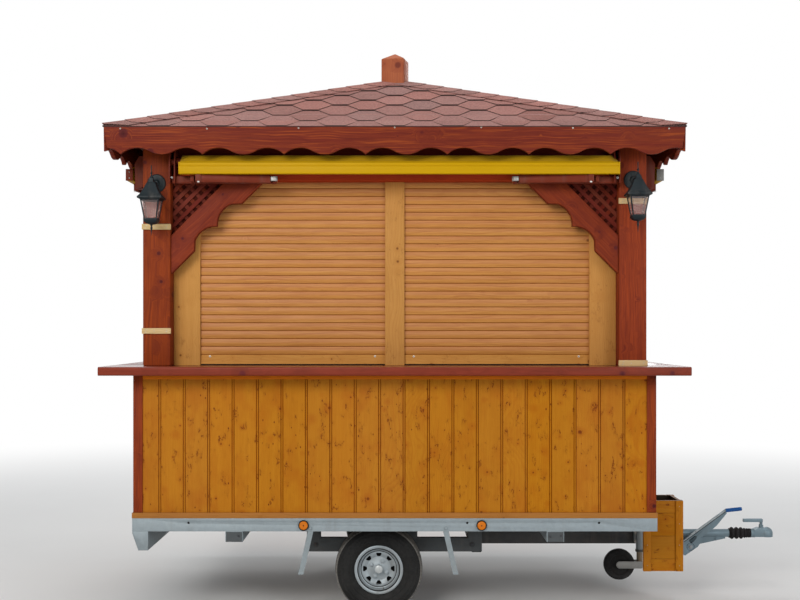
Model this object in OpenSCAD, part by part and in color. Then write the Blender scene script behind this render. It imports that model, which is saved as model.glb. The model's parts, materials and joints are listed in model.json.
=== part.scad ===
/* [Stall body] */
// Length of the boarded body, along the trailer
body_l = 3000; // [2600:10:3600]
// Depth of the boarded body, across the trailer
body_d = 2000; // [1800:10:2400]
// Thickness of a lower wall, boards and studs together
wall_t = 60; // [40:5:90]
// Height of the lower walls above the deck
wall_h = 809; // [700:1:1000]
// Thickness of the floor deck
deck_t = 18; // [12:1:30]
// Width of the corner trims
trim_w = 46; // [30:1:70]
// Thickness of the corner trims
trim_t = 8; // [5:1:14]
// Height of the skirting boards
skirting_h = 32; // [24:1:60]
// Thickness of the skirting boards
skirting_t = 15; // [10:1:25]
// Height of the moulding under the counter
moulding_h = 26; // [16:1:45]
// Width of one wall board between two grooves
board_w = 140; // [90:1:200]
// Depth of the grooves between the wall boards
groove_d = 4; // [2:0.5:6]

/* [Counter] */
// Thickness of the counter boards
counter_t = 50; // [35:1:70]
// How far the counter stands out past the walls
counter_out = 172; // [120:1:260]
// How far the rear sill stands out past the wall
sill_out = 30; // [20:1:80]
// Radius of the counter's front edge
counter_edge_r = 12; // [4:1:16]

/* [Posts and openings] */
// Side of a square corner post
post_w = 160; // [120:1:200]
// How far a corner post stands in from the wall's outer face
post_inset = 38; // [20:1:80]
// Height of the shutter openings, counter to header
opening_h = 1079; // [900:1:1300]
// Depth of the recess from the post's face to the boards beside the shutters
recess = 100; // [80:1:120]
// Width of the boards beside the shutters
side_board_w = 156; // [100:1:220]
// Width of the centre posts between the long side's shutters
centre_post_w = 114; // [80:1:160]
// Recess of the header's face behind the post's face
header_recess = 20; // [5:1:40]

/* [Shutters] */
// Height of one shutter slat
slat_h = 46.6; // [30:0.1:60]
// How far a slat bulges out
slat_bulge = 4; // [2:0.5:8]
// Thickness of the shutter curtain
curtain_t = 14; // [8:1:20]
// Height of the shutter's bottom bar
bottom_bar_h = 48; // [30:1:70]
// Gap under the bottom bar
bottom_gap = 14; // [6:1:30]

/* [Braces and lattice] */
// Length of a brace along the post and along the header
brace_leg = 545; // [450:5:600]
// Distance from the corner to the brace's outer edge, along the post
brace_outer = 322; // [260:2:360]
// Thickness of a brace
brace_t = 55; // [30:1:60]
// Radius of the two scallops cut in the brace's inner edge
brace_scallop_r = 125; // [100:1:160]
// Width of one lattice bar
lattice_bar = 25; // [15:1:30]
// Distance from bar to bar, across the bars
lattice_pitch = 47; // [36:1:70]
// Thickness of one layer of lattice bars
lattice_t = 7; // [4:0.5:8]
// Thickness of the dark board behind the lattice
lattice_back_t = 4; // [3:0.5:6]
// Depth of a brace's face behind the post's face
brace_in = 12; // [6:1:20]

/* [Roof] */
// How far the fascia's face stands out past the walls
eaves_out = 145; // [100:1:260]
// Height of the fascia from its lobes to its top
fascia_h = 160; // [120:1:220]
// Thickness of the fascia boards
fascia_t = 25; // [18:1:35]
// Length of one repeat of the fascia's scallops
scallop_l = 462; // [300:1:600]
// Depth of the scallops
scallop_h = 37; // [20:1:50]
// Distance from the stall's middle to the nearest lobe, on the long sides
scallop_shift = 67; // [0:1:231]
// Height of the fascia's top above the header's underside
fascia_rise = 283; // [240:1:340]
// Rise of the roof from its edge to its apex
roof_rise = 492; // [300:1:700]
// Upright thickness of the roof boards with their shingles
roof_t = 28; // [20:1:40]
// How far the shingles reach past the fascia
drip = 6; // [4:1:25]
// Thickness of the shingle edge over the fascia
drip_t = 5; // [3:0.5:10]
// Side of the square finial post on the apex
finial_w = 150; // [100:1:200]
// Height of the finial's square sides above the roof's apex
finial_h = 130; // [80:1:220]
// Height of the finial's pyramid cap
finial_cap_h = 46; // [20:1:80]
// Turn of the finial about its own axis
finial_turn = 77; // [0:1:90]

/* [Awnings] */
// Length of the long side's awning bar
long_bar_l = 2512; // [2000:1:2700]
// Shift of the long side's awning bar towards the nose
long_bar_shift = 26; // [0:1:30]
// Length of an end awning's bar
end_bar_l = 1590; // [1200:1:1700]
// Height of the awning's front bar
bar_h = 69; // [50:1:90]
// Depth of the awning's front bar
bar_t = 42; // [25:1:50]
// Distance from the post's face to the front of the awning bar
bar_out = 138; // [125:1:160]
// Diameter of the awning's roller with its cloth
roller_d = 78; // [60:1:90]
// Thickness of the awning cloth's solid
cloth_t = 3; // [2:0.5:5]
// Height of an awning arm
arm_h = 44; // [30:1:48]
// Thickness of an awning arm
arm_t = 26; // [18:1:30]
// Length of an awning arm from its shoulder to its elbow
arm_l = 558; // [380:1:565]
// Length of the fore arm from the elbow to the bar
fore_arm_l = 418; // [320:1:450]
// Width of a roller bracket, from the post
bracket_in = 42; // [36:1:60]
// Gap between a roller bracket and the post
bracket_gap = 6; // [4:1:10]
// Height of the bar's underside above the header's underside
bar_rise = 17; // [14:1:24]
// Height of the roller's axis above the header's underside
roller_rise = 116; // [110:1:125]
// Distance from the post's face to the roller's axis
roller_out = 38; // [34:1:50]

/* [Lanterns and battens] */
// Width of the lantern's roof
lantern_w = 137; // [115:1:170]
// Width of the lantern's glass cage at its top
cage_top = 108; // [80:1:116]
// Width of the lantern's glass cage at its foot
cage_foot = 73; // [50:1:80]
// Height of the lantern's glass cage
cage_h = 106; // [80:1:130]
// Thickness of the lantern's panes
pane_t = 2; // [1.5:0.5:4]
// Diameter of the lantern's wall plate
wall_plate_d = 107; // [80:1:130]
// Distance from the post's face to the lantern's axis
lantern_out = 145; // [120:1:200]
// Heights of the lanterns' tips over the header's underside, rear post and nose post
lantern_tip = [67, 87];
// Height of the batten strips nailed on the posts
batten_h = 33; // [20:1:45]
// Thickness of the batten strips
batten_t = 12; // [8:1:20]
// How far the batten strips reach past the post's sides
batten_over = 4; // [0:1:10]
// Heights of the rear post's battens above the counter
rear_battens = [186, 790];
// Heights of the nose post's battens above the counter
nose_battens = [0, 940];

/* [Chassis] */
// Height of the side rails' underside above the ground
rail_z = 520; // [440:1:640]
// Height of the side rails
rail_h = 75; // [60:1:100]
// Width of the side rails' flanges
rail_flange = 40; // [30:1:60]
// Thickness of the folded steel
steel_t = 4; // [3:0.5:6]
// How far the rails stand out past the walls
rail_out = 13; // [5:1:25]
// Width of the cross channels under the rails
cross_w = 100; // [60:1:120]
// Height of the cross channels
cross_h = 62; // [50:1:110]
// Distance from the middle of the stall to each cross channel
cross_x = 926; // [850:1:1100]
// Height of the rear light board under the rails
rear_board_h = 110; // [80:1:160]
// Depth of the rear light board at its top
rear_board_w = 92; // [70:1:140]
// Depth of the rear light board at its bottom
rear_board_foot = 57; // [40:1:90]
// Diameter of the round side markers
marker_d = 60; // [40:1:70]
// How far the side markers stand out
marker_t = 17; // [10:1:25]
// Places of the side markers along the trailer
marker_x = [-525, 500];
// Places of the holes in the rails along the trailer
rail_holes = [-1188, 418, 1177];
// Diameter of the holes in the rails
rail_hole_d = 14; // [8:1:20]
// Distance from the wheel centre to a mudguard stay, at the rail
stay_x = 390; // [360:1:430]
// Width of a mudguard stay
stay_w = 32; // [20:1:45]
// Length of a mudguard stay, upright
stay_h = 250; // [180:1:300]
// How far a mudguard stay leans away from the wheel
stay_lean = 57; // [30:1:80]

/* [Axle and wheels] */
// Wheel centre behind the middle of the stall
axle_x = -95; // [-150:1:150]
// Outer diameter of the tyres
tyre_d = 520; // [480:1:540]
// Width of the tyres
tyre_w = 205; // [130:1:215]
// Outer diameter of the rim's flanges
rim_d = 288; // [270:1:300]
// Width of the rim between the outsides of its flanges
rim_w = 170; // [110:1:175]
// Distance from the wall's face in to the tyre's outer side
tyre_inset = 155; // [100:1:200]
// Diameter of the circle of wheel bolts
bolt_circle = 100; // [90:1:112]
// Diameter of the stub axles
stub_d = 40; // [30:1:45]
// Side of the square axle tube
axle_tube = 70; // [50:1:80]
// Distance from the wheel centre forward to the axle tube
trail = 155; // [120:1:180]
// Thickness of the trailing arms
arm_plate_t = 20; // [12:1:25]
// Clearance between the tyres and the beams beside them
wheel_gap = 8; // [6:1:15]
// Width of the beams that carry the axle
axle_beam_w = 40; // [30:1:60]
// Distance from the wheel centre forward to the middle of the axle beams
beam_ahead = 92; // [60:1:120]
// Length of the beams that carry the axle
axle_beam_l = 1065; // [900:5:1200]
// Height of the beams that carry the axle
axle_beam_h = 85; // [60:1:90]
// Height of the packers between the axle beams and the rails' level
packer_h = 103; // [60:1:120]
// Length of the packers at the beams' ends
end_packer_l = 85; // [60:1:120]
// Length of the packers at the beams' middle
mid_packer_l = 390; // [300:1:420]
// Distance from the middle of the axle beams back to the middle packers' rear end
mid_packer_back = 250; // [200:1:280]

/* [Drawbar] */
// Height of the drawbar beam
drawbar_h = 100; // [80:1:120]
// Width of the drawbar beam
drawbar_w = 80; // [60:1:90]
// Height of the drawbar's underside above the ground
drawbar_z = 274; // [240:1:300]
// Width of the cross tube between the axle beams that carries the drawbar's rear end
tie_w = 60; // [40:1:80]
// Distance from the body's end to the drawbar's front end
drawbar_reach = 380; // [340:5:480]
// Height of the coupling's axis above the ground
coupling_z = 337; // [320:1:360]
// Diameter of the coupling's housing tube
housing_d = 52; // [48:1:60]
// Distance from the drawbar's front end to the housing's front end
housing_reach = 327; // [290:1:380]
// Length of the rubber bellows
bellows_l = 143; // [100:1:160]
// Outer diameter of the bellows
bellows_d = 76; // [66:1:84]
// Number of folds in the bellows
bellows_folds = 5; // [4:1:8]
// Diameter of the draw shaft inside the bellows
shaft_d = 36; // [30:1:40]
// Length of the coupling head from the bellows to its nose
head_l = 154; // [130:1:180]
// Diameter of the ball that the socket takes
ball_d = 50; // [50:1:60]
// Clearance of the socket round the ball
ball_gap = 0.3; // [0.2:0.05:0.5]
// Length of the handbrake lever from its pivot to its elbow
lever_l = 335; // [280:1:380]
// Distance of the lever's upper edge from its pivot
lever_rise = 63; // [50:1:70]
// Angle of the handbrake lever above the level
lever_tilt = 36; // [20:1:60]
// Length of the lever's grip
grip_l = 104; // [80:1:130]
// Diameter of the lever's grip
grip_d = 22; // [18:1:30]
// Angle of the grip above the level
grip_tilt = 6; // [0:1:20]
// Distance from the drawbar's front end to the lever's pivot
lever_ahead = 60; // [50:1:80]
// Height of the lever's pivot above the ground
lever_z = 257; // [245:1:265]

/* [Jockey wheel] */
// Diameter of the jockey wheel
jockey_d = 200; // [180:1:220]
// Width of the jockey wheel
jockey_w = 50; // [40:1:60]
// Ground clearance of the folded jockey wheel
jockey_clear = 47; // [30:1:90]
// Height of the cheeks of the jockey wheel's fork
fork_h = 46; // [30:1:56]
// Distance from the fold pivot to the jockey wheel's axle
jockey_arm = 135; // [125:1:170]
// Distance from the body's end to the jockey tube's axis
jockey_ahead = 102; // [70:1:150]
// Diameter of the jockey wheel's outer tube
jockey_tube_d = 48; // [42:1:60]
// Height of the jockey tube above the drawbar
jockey_rise = 170; // [150:1:200]
// Height of the jockey tube's lower end above the ground
jockey_tube_z = 228; // [210:1:240]
// Clearance between the jockey wheel and its fork
fork_gap = 6; // [5:0.5:10]

/* [Drawbar box] */
// Length of the open box beside the drawbar, along the trailer
box_l = 241; // [180:1:320]
// Distance from the rear edge of the box's front panel to its rear wall
box_set = 61; // [46:1:80]
// Depth of the box, across the trailer
box_d = 275; // [200:1:320]
// Height of the box
box_h = 430; // [300:1:500]
// Height of the box's underside above the ground
box_z = 210; // [150:1:300]
// Distance from the trailer's centre line to the box's near side
box_y = 625; // [500:1:800]
// Thickness of the box's boards
box_t = 18; // [12:1:25]
// Width of the corner strips on the box
box_strip_w = 45; // [30:1:60]
// Thickness of the corner strips on the box
box_strip_t = 9; // [6:1:14]

/* [Hidden] */
$fn = 48;
// Running gap between pieces that move past each other, and between solids of one piece
run_gap = 0.3;
joint_gap = 0.5;
eps = 0.01;
// Levels above the ground
rail_top = rail_z + rail_h;
deck_top = rail_top + deck_t;
counter_z = deck_top + wall_h;
counter_top = counter_z + counter_t;
header_z = counter_top + opening_h;
eaves_z = header_z + fascia_rise;
// Gap between the roof boards and what carries them
roof_seat = 0.1;
// Half sizes of the body and of the roof's plan
half_l = body_l / 2;
half_d = body_d / 2;
roof_x = half_l + eaves_out + drip;
roof_y = half_d + eaves_out + drip;
apex_z = eaves_z + drip_t + roof_rise;
// Faces of the posts, measured from the middle of the stall
post_face_x = half_l - post_inset;
post_face_y = half_d - post_inset;
long_span = 2 * (post_face_x - post_w);
end_span = 2 * (post_face_y - post_w);
// Depth of the counter under the posts
counter_in = post_inset + post_w + 12;
// Wheels and axle
wheel_z = tyre_d / 2;
tyre_y = half_d - tyre_inset - tyre_w / 2;
beam_bottom = rail_z - packer_h - axle_beam_h;
beam_y = tyre_y - tyre_w / 2 - wheel_gap - axle_beam_w;
axle_tube_x = axle_x + trail;
beam_x = axle_x + beam_ahead;
beam_front = beam_x + axle_beam_l / 2;
// Drawbar
drawbar_end = half_l + drawbar_reach;
housing_end = drawbar_end + housing_reach;
drawbar_top = drawbar_z + drawbar_h;
// Jockey wheel
jockey_x = half_l + jockey_ahead;
jockey_y = -drawbar_w / 2 - jockey_tube_d / 2 - 14;
jockey_axle_z = jockey_clear + jockey_d / 2;
jockey_top = drawbar_top + jockey_rise;
// Handbrake lever
lever_pivot = [drawbar_end + lever_ahead, lever_z];
lever_y = 62;
// Coupling
head_x = housing_end + bellows_l;
handle_pivot = [head_x + 72, coupling_z + 47];
ball_x = head_x + head_l - 46;
// Awnings
bar_z = header_z + bar_rise;
roller_z = header_z + roller_rise;
// Lanterns, whose heights are counted down from their tips
lantern_x = post_face_x - post_w / 2;
collar_w = 24;
collar_z = -76;
brim_z = -187;
cage_z = -201;

// Copies what it is given to both long sides
module both_sides() {
    children();
    mirror([0, 1, 0]) children();
}

// Copies what it is given to both ends
module both_ends() {
    children();
    mirror([1, 0, 0]) children();
}

// Turns a long side's piece to face the nose end
module end_face() {
    rotate([0, 0, 90]) children();
}

// A box given by its low corner and its high corner
module block(low, high) {
    translate(low) cube(high - low);
}

// Steel chassis

module side_rails() {
    color("#93a0a6")
        both_sides()
            difference() {
                rotate([90, 0, 90])
                    translate([0, 0, -half_l - rail_out])
                        linear_extrude(body_l + 2 * rail_out)
                            rail_section();
                for (x = rail_holes)
                    translate([x, -half_d - rail_out - 1, rail_z + 0.65 * rail_h])
                        rotate([-90, 0, 0])
                            cylinder(d = rail_hole_d, h = steel_t + 2);
            }
}

// Section of the near rail, a channel that opens to the inside
module rail_section() {
    face = -half_d - rail_out;
    difference() {
        translate([face, rail_z]) square([rail_flange, rail_h]);
        translate([face + steel_t, rail_z + steel_t])
            square([rail_flange, rail_h - 2 * steel_t]);
    }
}

module cross_channels() {
    color("#8d999f")
        for (x = [-cross_x, cross_x])
            translate([x, half_d + rail_out, rail_z - cross_h])
                rotate([90, 0, 0])
                    linear_extrude(body_d + 2 * rail_out)
                        difference() {
                            translate([-cross_w / 2, 0]) square([cross_w, cross_h]);
                            translate([-cross_w / 2 + steel_t, -eps])
                                square([cross_w - 2 * steel_t, cross_h - steel_t + eps]);
                        }
}

module rear_light_board() {
    rear = -half_l - rail_out;
    color("#93a0a6")
        rotate([90, 0, 0])
            linear_extrude(body_d + 2 * rail_out, center = true)
                polygon([
                    [rear, rail_z],
                    [rear, rail_z - 0.1 * rear_board_h],
                    [rear + rear_board_w - rear_board_foot, rail_z - rear_board_h],
                    [rear + rear_board_w, rail_z - rear_board_h],
                    [rear + rear_board_w, rail_z]
                ]);
}

// Beams along the inside of the wheels, with packers up to the rails' level
module axle_beams() {
    back = beam_x - axle_beam_l / 2;
    middle = beam_x - mid_packer_back;
    outer = beam_y + axle_beam_w;
    packers = [
        [back, back + end_packer_l],
        [middle, middle + mid_packer_l],
        [back + axle_beam_l - end_packer_l, back + axle_beam_l]
    ];
    color("#474d50")
        both_sides() {
            block([back, -outer, beam_bottom],
                [back + axle_beam_l, -beam_y, beam_bottom + axle_beam_h]);
            for (p = packers)
                block([p[0], -outer, beam_bottom + axle_beam_h], [p[1], -beam_y, rail_z]);
        }
}

// Square tube between two trailing arms with their stub axles
module axle() {
    arm_y = beam_y + axle_beam_w - arm_plate_t;
    color("#5b6165") {
        block([axle_tube_x - axle_tube / 2, -arm_y, beam_bottom - axle_tube],
            [axle_tube_x + axle_tube / 2, arm_y, beam_bottom]);
        both_sides()
            translate([0, -arm_y, 0])
                rotate([90, 0, 0]) {
                    linear_extrude(arm_plate_t) trailing_arm();
                    translate([axle_x, wheel_z, arm_plate_t])
                        cylinder(d = stub_d, h = tyre_y + 20 - arm_y - arm_plate_t);
                }
    }
}

// Side view of a trailing arm, which tapers from the tube to the stub axle
module trailing_arm() {
    tube = [axle_tube_x, beam_bottom - axle_tube / 2];
    stub = [axle_x, wheel_z];
    big = axle_tube / 2 + 8;
    small = stub_d / 2 + 12;
    long = norm(tube - stub);
    waist = 0.93;
    intersection() {
        translate(stub)
            rotate(atan2(tube[1] - stub[1], tube[0] - stub[0]))
                union() {
                    circle(small);
                    translate([long, 0]) circle(big);
                    polygon([
                        [0, waist * small], [long, waist * big], [long, -waist * big],
                        [0, -waist * small]
                    ]);
                }
        translate([-half_l, 0]) square([2 * half_l, beam_bottom]);
    }
}

module mudguard_stays() {
    low = stay_x - stay_w / 2;
    high = stay_x + stay_w / 2;
    color("#93a0a6")
        both_sides()
            for (side = [-1, 1])
                translate([axle_x, -half_d - rail_out + 2 * steel_t, 0])
                    rotate([90, 0, 0])
                        linear_extrude(steel_t)
                            polygon([
                                [side * low, rail_z],
                                [side * high, rail_z],
                                [side * (high + stay_lean), rail_z - stay_h],
                                [side * (low + stay_lean), rail_z - stay_h]
                            ]);
}

module side_markers() {
    color("#e08a1c")
        both_sides()
            for (x = marker_x)
                translate([x, -half_d - rail_out, rail_z + 0.47 * rail_h])
                    rotate([90, 0, 0])
                        rotate_extrude()
                            polygon([
                                [0, 0], [marker_d / 2, 0], [marker_d / 2, 0.5 * marker_t],
                                [0.44 * marker_d, 0.8 * marker_t], [0.13 * marker_d, marker_t],
                                [0, marker_t]
                            ]);
}

// Beam to the coupling, with its cross tube and the hanger that bolts it to the front channel
module drawbar() {
    color("#4a5053") {
        block([beam_front - tie_w, -beam_y, drawbar_z], [beam_front, beam_y, drawbar_top]);
        block([beam_front, -drawbar_w / 2, drawbar_z], [drawbar_end, drawbar_w / 2, drawbar_top]);
        block([cross_x - cross_w / 2, -drawbar_w / 2, drawbar_top],
            [cross_x + cross_w / 2, drawbar_w / 2, rail_z - cross_h]);
    }
}

// Road wheels

module tyre() {
    r = tyre_d / 2;
    w = tyre_w / 2;
    flange = rim_d / 2;
    bead = flange - 14;
    seat = rim_w / 2 - 8.5;
    rotate([90, 0, 0])
        rotate_extrude($fn = 96)
            polygon([
                [bead, -seat], [flange + 1, -seat - 3], [flange + 3, -seat - 9],
                [flange + 26, -w + 2], [flange + 56, -w], [r - 30, -w + 4], [r - 12, -w + 14],
                [r - 3, -w + 30], [r, 0], [r - 3, w - 30], [r - 12, w - 14], [r - 30, w - 4],
                [flange + 56, w], [flange + 26, w - 2], [flange + 3, seat + 9],
                [flange + 1, seat + 3], [bead, seat]
            ]);
}

// Pressed steel wheel whose outer side faces the near side
module rim() {
    r = rim_d / 2;
    bead = r - 14 - run_gap;
    h = rim_w / 2;
    color("#b9bec0")
        rotate([90, 0, 0])
            difference() {
                union() {
                    rotate_extrude($fn = 96)
                        polygon([
                            [r - 7, h], [r, h - 2], [r, h - 5], [bead, h - 8], [bead, -h + 8],
                            [r, -h + 5], [r, -h + 2], [r - 7, -h], [bead - 6, -h + 4],
                            [bead - 6, h - 4]
                        ]);
                    rotate_extrude($fn = 96)
                        polygon([
                            [stub_d / 2 + run_gap, -30], [stub_d / 2 + run_gap, 44],
                            [34, 44], [34, 40], [70, 34], [90, 46], [106, 46], [112, 20],
                            [bead - 6 + eps, 12], [bead - 6 + eps, 6], [108, 14],
                            [102, 38], [92, 38], [72, 26], [60, 26], [60, -30]
                        ]);
                    translate([0, 0, 44]) cylinder(d = 50, h = 16);
                    for (a = [62:90:332])
                        rotate([0, 0, a])
                            translate([bolt_circle / 2, 0, 28]) {
                                cylinder(d = 25, h = 16);
                                cylinder(d = 19, h = 22, $fn = 6);
                            }
                }
                for (a = [0:45:315])
                    rotate([0, 0, a])
                        translate([0, 83, 0])
                            linear_extrude(60)
                                polygon([
                                    [-3, -12], [3, -12], [6, -9], [13, 4], [13, 8], [9, 11],
                                    [-9, 11], [-13, 8], [-13, 4], [-6, -9]
                                ]);
            }
}

module near_tyre() {
    color("#2b2b2a") translate([axle_x, -tyre_y, wheel_z]) tyre();
}

module near_rim() {
    translate([axle_x, -tyre_y, wheel_z]) rim();
}

module far_tyre() {
    color("#2b2b2a") translate([axle_x, tyre_y, wheel_z]) tyre();
}

module far_rim() {
    translate([axle_x, tyre_y, wheel_z]) mirror([0, 1, 0]) rim();
}

// Jockey wheel, folded to the rear

// Outer tube with its clamp block on the drawbar and its crank on top
module jockey_tube() {
    bore = jockey_tube_d - 8;
    crank = 85;
    color("#8f9a9f")
        union() {
            translate([jockey_x, jockey_y, jockey_tube_z])
                difference() {
                    cylinder(d = jockey_tube_d, h = jockey_top - jockey_tube_z);
                    translate([0, 0, -eps])
                        cylinder(d = bore, h = jockey_top - jockey_tube_z - 20);
                }
            difference() {
                block([jockey_x - 34, jockey_y, drawbar_z + 20],
                    [jockey_x + 34, -drawbar_w / 2, drawbar_top - 20]);
                translate([jockey_x, jockey_y, drawbar_z])
                    cylinder(d = jockey_tube_d - 4, h = drawbar_h);
            }
            translate([jockey_x, jockey_y, jockey_top]) {
                translate([0, 0, -eps]) cylinder(d = 26, h = 12);
                block([-12, -9, 11], [crank, 9, 18]);
                translate([crank - 12, 0, 17]) cylinder(d = 18, h = 38);
            }
        }
}

// Inner leg in the tube, with the eye that the fork folds on
module jockey_leg() {
    inner = jockey_tube_d - 8 - 2 * run_gap;
    eye = 10;
    color("#9c7a4a")
        translate([jockey_x, jockey_y, jockey_axle_z])
            union() {
                translate([0, 0, 14]) cylinder(d = inner, h = 330);
                difference() {
                    block([-15, -12, -14], [15, 12, 16]);
                    translate([0, 20, 0]) rotate([90, 0, 0]) cylinder(d = eye, h = 40);
                }
            }
}

// Two cheeks with round ends, on the fold pin and the wheel's axle
module jockey_fork() {
    cheek = 5;
    inside = jockey_w / 2 + fork_gap;
    color("#c9c9c4")
        translate([jockey_x, jockey_y, jockey_axle_z])
            rotate([90, 0, 0])
                union() {
                    for (low = [-inside - cheek, inside])
                        translate([0, 0, low])
                            linear_extrude(cheek)
                                union() {
                                    circle(d = fork_h);
                                    translate([-jockey_arm, 0]) circle(d = fork_h);
                                    translate([-jockey_arm, -fork_h / 2])
                                        square([jockey_arm, fork_h]);
                                }
                    translate([0, 0, -inside - cheek])
                        cylinder(d = 10 - 2 * run_gap, h = 2 * (inside + cheek));
                    translate([-jockey_arm, 0, -inside - cheek])
                        cylinder(d = 12 - 2 * run_gap, h = 2 * (inside + cheek));
                }
}

module jockey_wheel() {
    r = jockey_d / 2;
    h = jockey_w / 2;
    color("#1d1d1f")
        translate([jockey_x - jockey_arm, jockey_y, jockey_axle_z])
            rotate([90, 0, 0])
                rotate_extrude($fn = 72)
                    polygon([
                        [6, -h], [22, -h], [26, -h + 8], [62, -h + 8], [68, -h], [r - 8, -h],
                        [r, -h + 9], [r, h - 9], [r - 8, h], [68, h], [62, h - 8], [26, h - 8],
                        [22, h], [6, h]
                    ]);
}

// Overrun coupling

module coupling_housing() {
    start = drawbar_end - 60;
    r = housing_d / 2;
    color("#8fa0a8")
        difference() {
            union() {
                translate([start, 0, coupling_z])
                    rotate([0, 90, 0])
                        cylinder(d = housing_d, h = housing_end - start);
                block([drawbar_end, -28, drawbar_z - 60], [drawbar_end + 12, 28, coupling_z + 30]);
                translate([0, 14, 0])
                    rotate([90, 0, 0])
                        linear_extrude(28)
                            polygon([
                                [drawbar_end, drawbar_z - 60], [lever_pivot[0] + 20, lever_pivot[1] - 24],
                                [lever_pivot[0] + 70, coupling_z - r - 45],
                                [housing_end - 25, coupling_z - r - 8],
                                [housing_end - 25, coupling_z], [drawbar_end, coupling_z]
                            ]);
                translate([lever_pivot[0], 0, lever_pivot[1]])
                    rotate([90, 0, 0])
                        cylinder(d = 34, h = lever_y - 5);
                translate([lever_pivot[0], 0, lever_pivot[1]])
                    rotate([90, 0, 0])
                        cylinder(d = 16, h = lever_y + 8);
            }
            translate([housing_end - 150, 0, coupling_z])
                rotate([0, 90, 0])
                    cylinder(d = shaft_d + 2 * run_gap, h = 151);
            block([start - 1, -40, drawbar_z - 1],
                [drawbar_end, 40, drawbar_z + drawbar_h + 1]);
        }
}

module coupling_bellows() {
    pitch = bellows_l / bellows_folds;
    r = bellows_d / 2;
    color("#1f1c22")
        translate([housing_end, 0, coupling_z])
            rotate([0, 90, 0])
                rotate_extrude()
                    polygon([
                        [shaft_d / 2 + 1, 0],
                        for (i = [0:bellows_folds - 1])
                            each [[r - 9, i * pitch], [r - 9, (i + 0.2) * pitch],
                                [r, (i + 0.45) * pitch], [r, (i + 0.6) * pitch]],
                        [r - 9, bellows_l], [shaft_d / 2 + 1, bellows_l]
                    ]);
}

module coupling_head() {
    color("#8fa0a8")
        difference() {
            union() {
                translate([housing_end - 60, 0, coupling_z])
                    rotate([0, 90, 0])
                        cylinder(d = shaft_d, h = bellows_l + 70);
                translate([head_x, 0, coupling_z])
                    rotate([0, 90, 0])
                        cylinder(d = 58, h = 30);
                translate([0, 30, 0])
                    rotate([90, 0, 0])
                        linear_extrude(60)
                            polygon([
                                [head_x + 20, coupling_z - 22], [head_x + 20, coupling_z + 24],
                                [head_x + 48, coupling_z + 36], [head_x + 96, coupling_z + 36],
                                [ball_x, coupling_z + 28], [ball_x, coupling_z - 22]
                            ]);
                translate([ball_x, 0, coupling_z - 22]) cylinder(d = 80, h = 30);
                translate([ball_x, 0, coupling_z]) sphere(d = 80);
                for (side = [-1, 1])
                    translate([0, side * 11 + 3, 0])
                        block([handle_pivot[0] - 11, -6, coupling_z + 30],
                            [handle_pivot[0] + 11, 0, handle_pivot[1] + 8]);
            }
            translate([handle_pivot[0], 30, handle_pivot[1]])
                rotate([90, 0, 0])
                    cylinder(d = 8 + 2 * run_gap, h = 60);
            translate([ball_x, 0, coupling_z]) sphere(d = ball_d + 2 * ball_gap);
            translate([ball_x, 0, coupling_z - 60]) cylinder(d = ball_d + 2 * ball_gap, h = 60);
            block([ball_x - 60, -60, coupling_z - 80], [ball_x + 60, 60, coupling_z - 22]);
        }
}

module coupling_handle() {
    top = coupling_z + 94;
    x = handle_pivot[0];
    color("#8fa0a8")
        union() {
            block([x - 8, -7, handle_pivot[1]], [x + 8, 7, top]);
            block([head_x - 46, -14, top - 20], [x + 8, 14, top]);
            translate([x, 7, handle_pivot[1]]) rotate([90, 0, 0]) cylinder(d = 16, h = 14);
            translate([x, 16, handle_pivot[1]]) rotate([90, 0, 0]) cylinder(d = 8, h = 32);
        }
}

// Pressed lever with a lightening slot, a flange along its upper edge and a bent up grip
module handbrake_lever() {
    web = 8;
    flange_w = 20;
    color("#93a3aa")
        translate([lever_pivot[0], -lever_y, lever_pivot[1]])
            rotate([0, -lever_tilt, 0]) {
                translate([0, web / 2, 0])
                    rotate([90, 0, 0])
                        difference() {
                            linear_extrude(web) lever_outline();
                            translate([0, 0, -1]) {
                                cylinder(d = 16 + 2 * run_gap, h = web + 2);
                                linear_extrude(web + 2)
                                    polygon([
                                        [18, 19], [16, 34], [22, 40], [64, 40], [70, 34],
                                        [62, 24], [28, 17]
                                    ]);
                            }
                        }
                translate([-12, -web / 2, lever_rise - 5]) cube([lever_l + 6, flange_w, 5]);
                translate([lever_l - 12, 0, lever_rise - 4])
                    rotate([0, 90 + lever_tilt - grip_tilt, 0])
                        cylinder(d = grip_d, h = grip_l + 6);
            }
}

// Outline of the lever's web, level and with its pivot at the origin
module lever_outline() {
    neck = lever_rise - 54;
    polygon([
        [-75, -1], [-63, -25], [39, -28], [88, -9], [88, neck], [lever_l - 145, neck],
        [lever_l - 114, neck + 3], [lever_l - 14, lever_rise - 25], [lever_l - 6, lever_rise],
        [-12, lever_rise], [-31, lever_rise - 4]
    ]);
}

// Open box of boards whose front panel runs on to the stall's end, with strips on its edges
module drawbar_box() {
    rear = half_l + skirting_t;
    low = [rear + box_set, -box_y + box_strip_t, box_z];
    high = [rear + box_l - box_strip_t, low[1] + box_d - 2 * box_strip_t, box_z + box_h];
    wall = [box_t, box_t, box_t];
    color("#b3772a") {
        difference() {
            block(low, high);
            block(low + wall, high + [-box_t, -box_t, 1]);
        }
        block([rear, low[1], box_z], [low[0], low[1] + box_t, high[2]]);
        translate([high[0], low[1], box_z]) box_corner();
        translate([high[0], high[1], box_z]) mirror([0, 1, 0]) box_corner();
        translate([rear, low[1] - box_strip_t, box_z]) cube([box_strip_w, box_strip_t, box_h]);
        translate([low[0], high[1], box_z]) cube([box_strip_w, box_strip_t, box_h]);
    }
}

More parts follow.
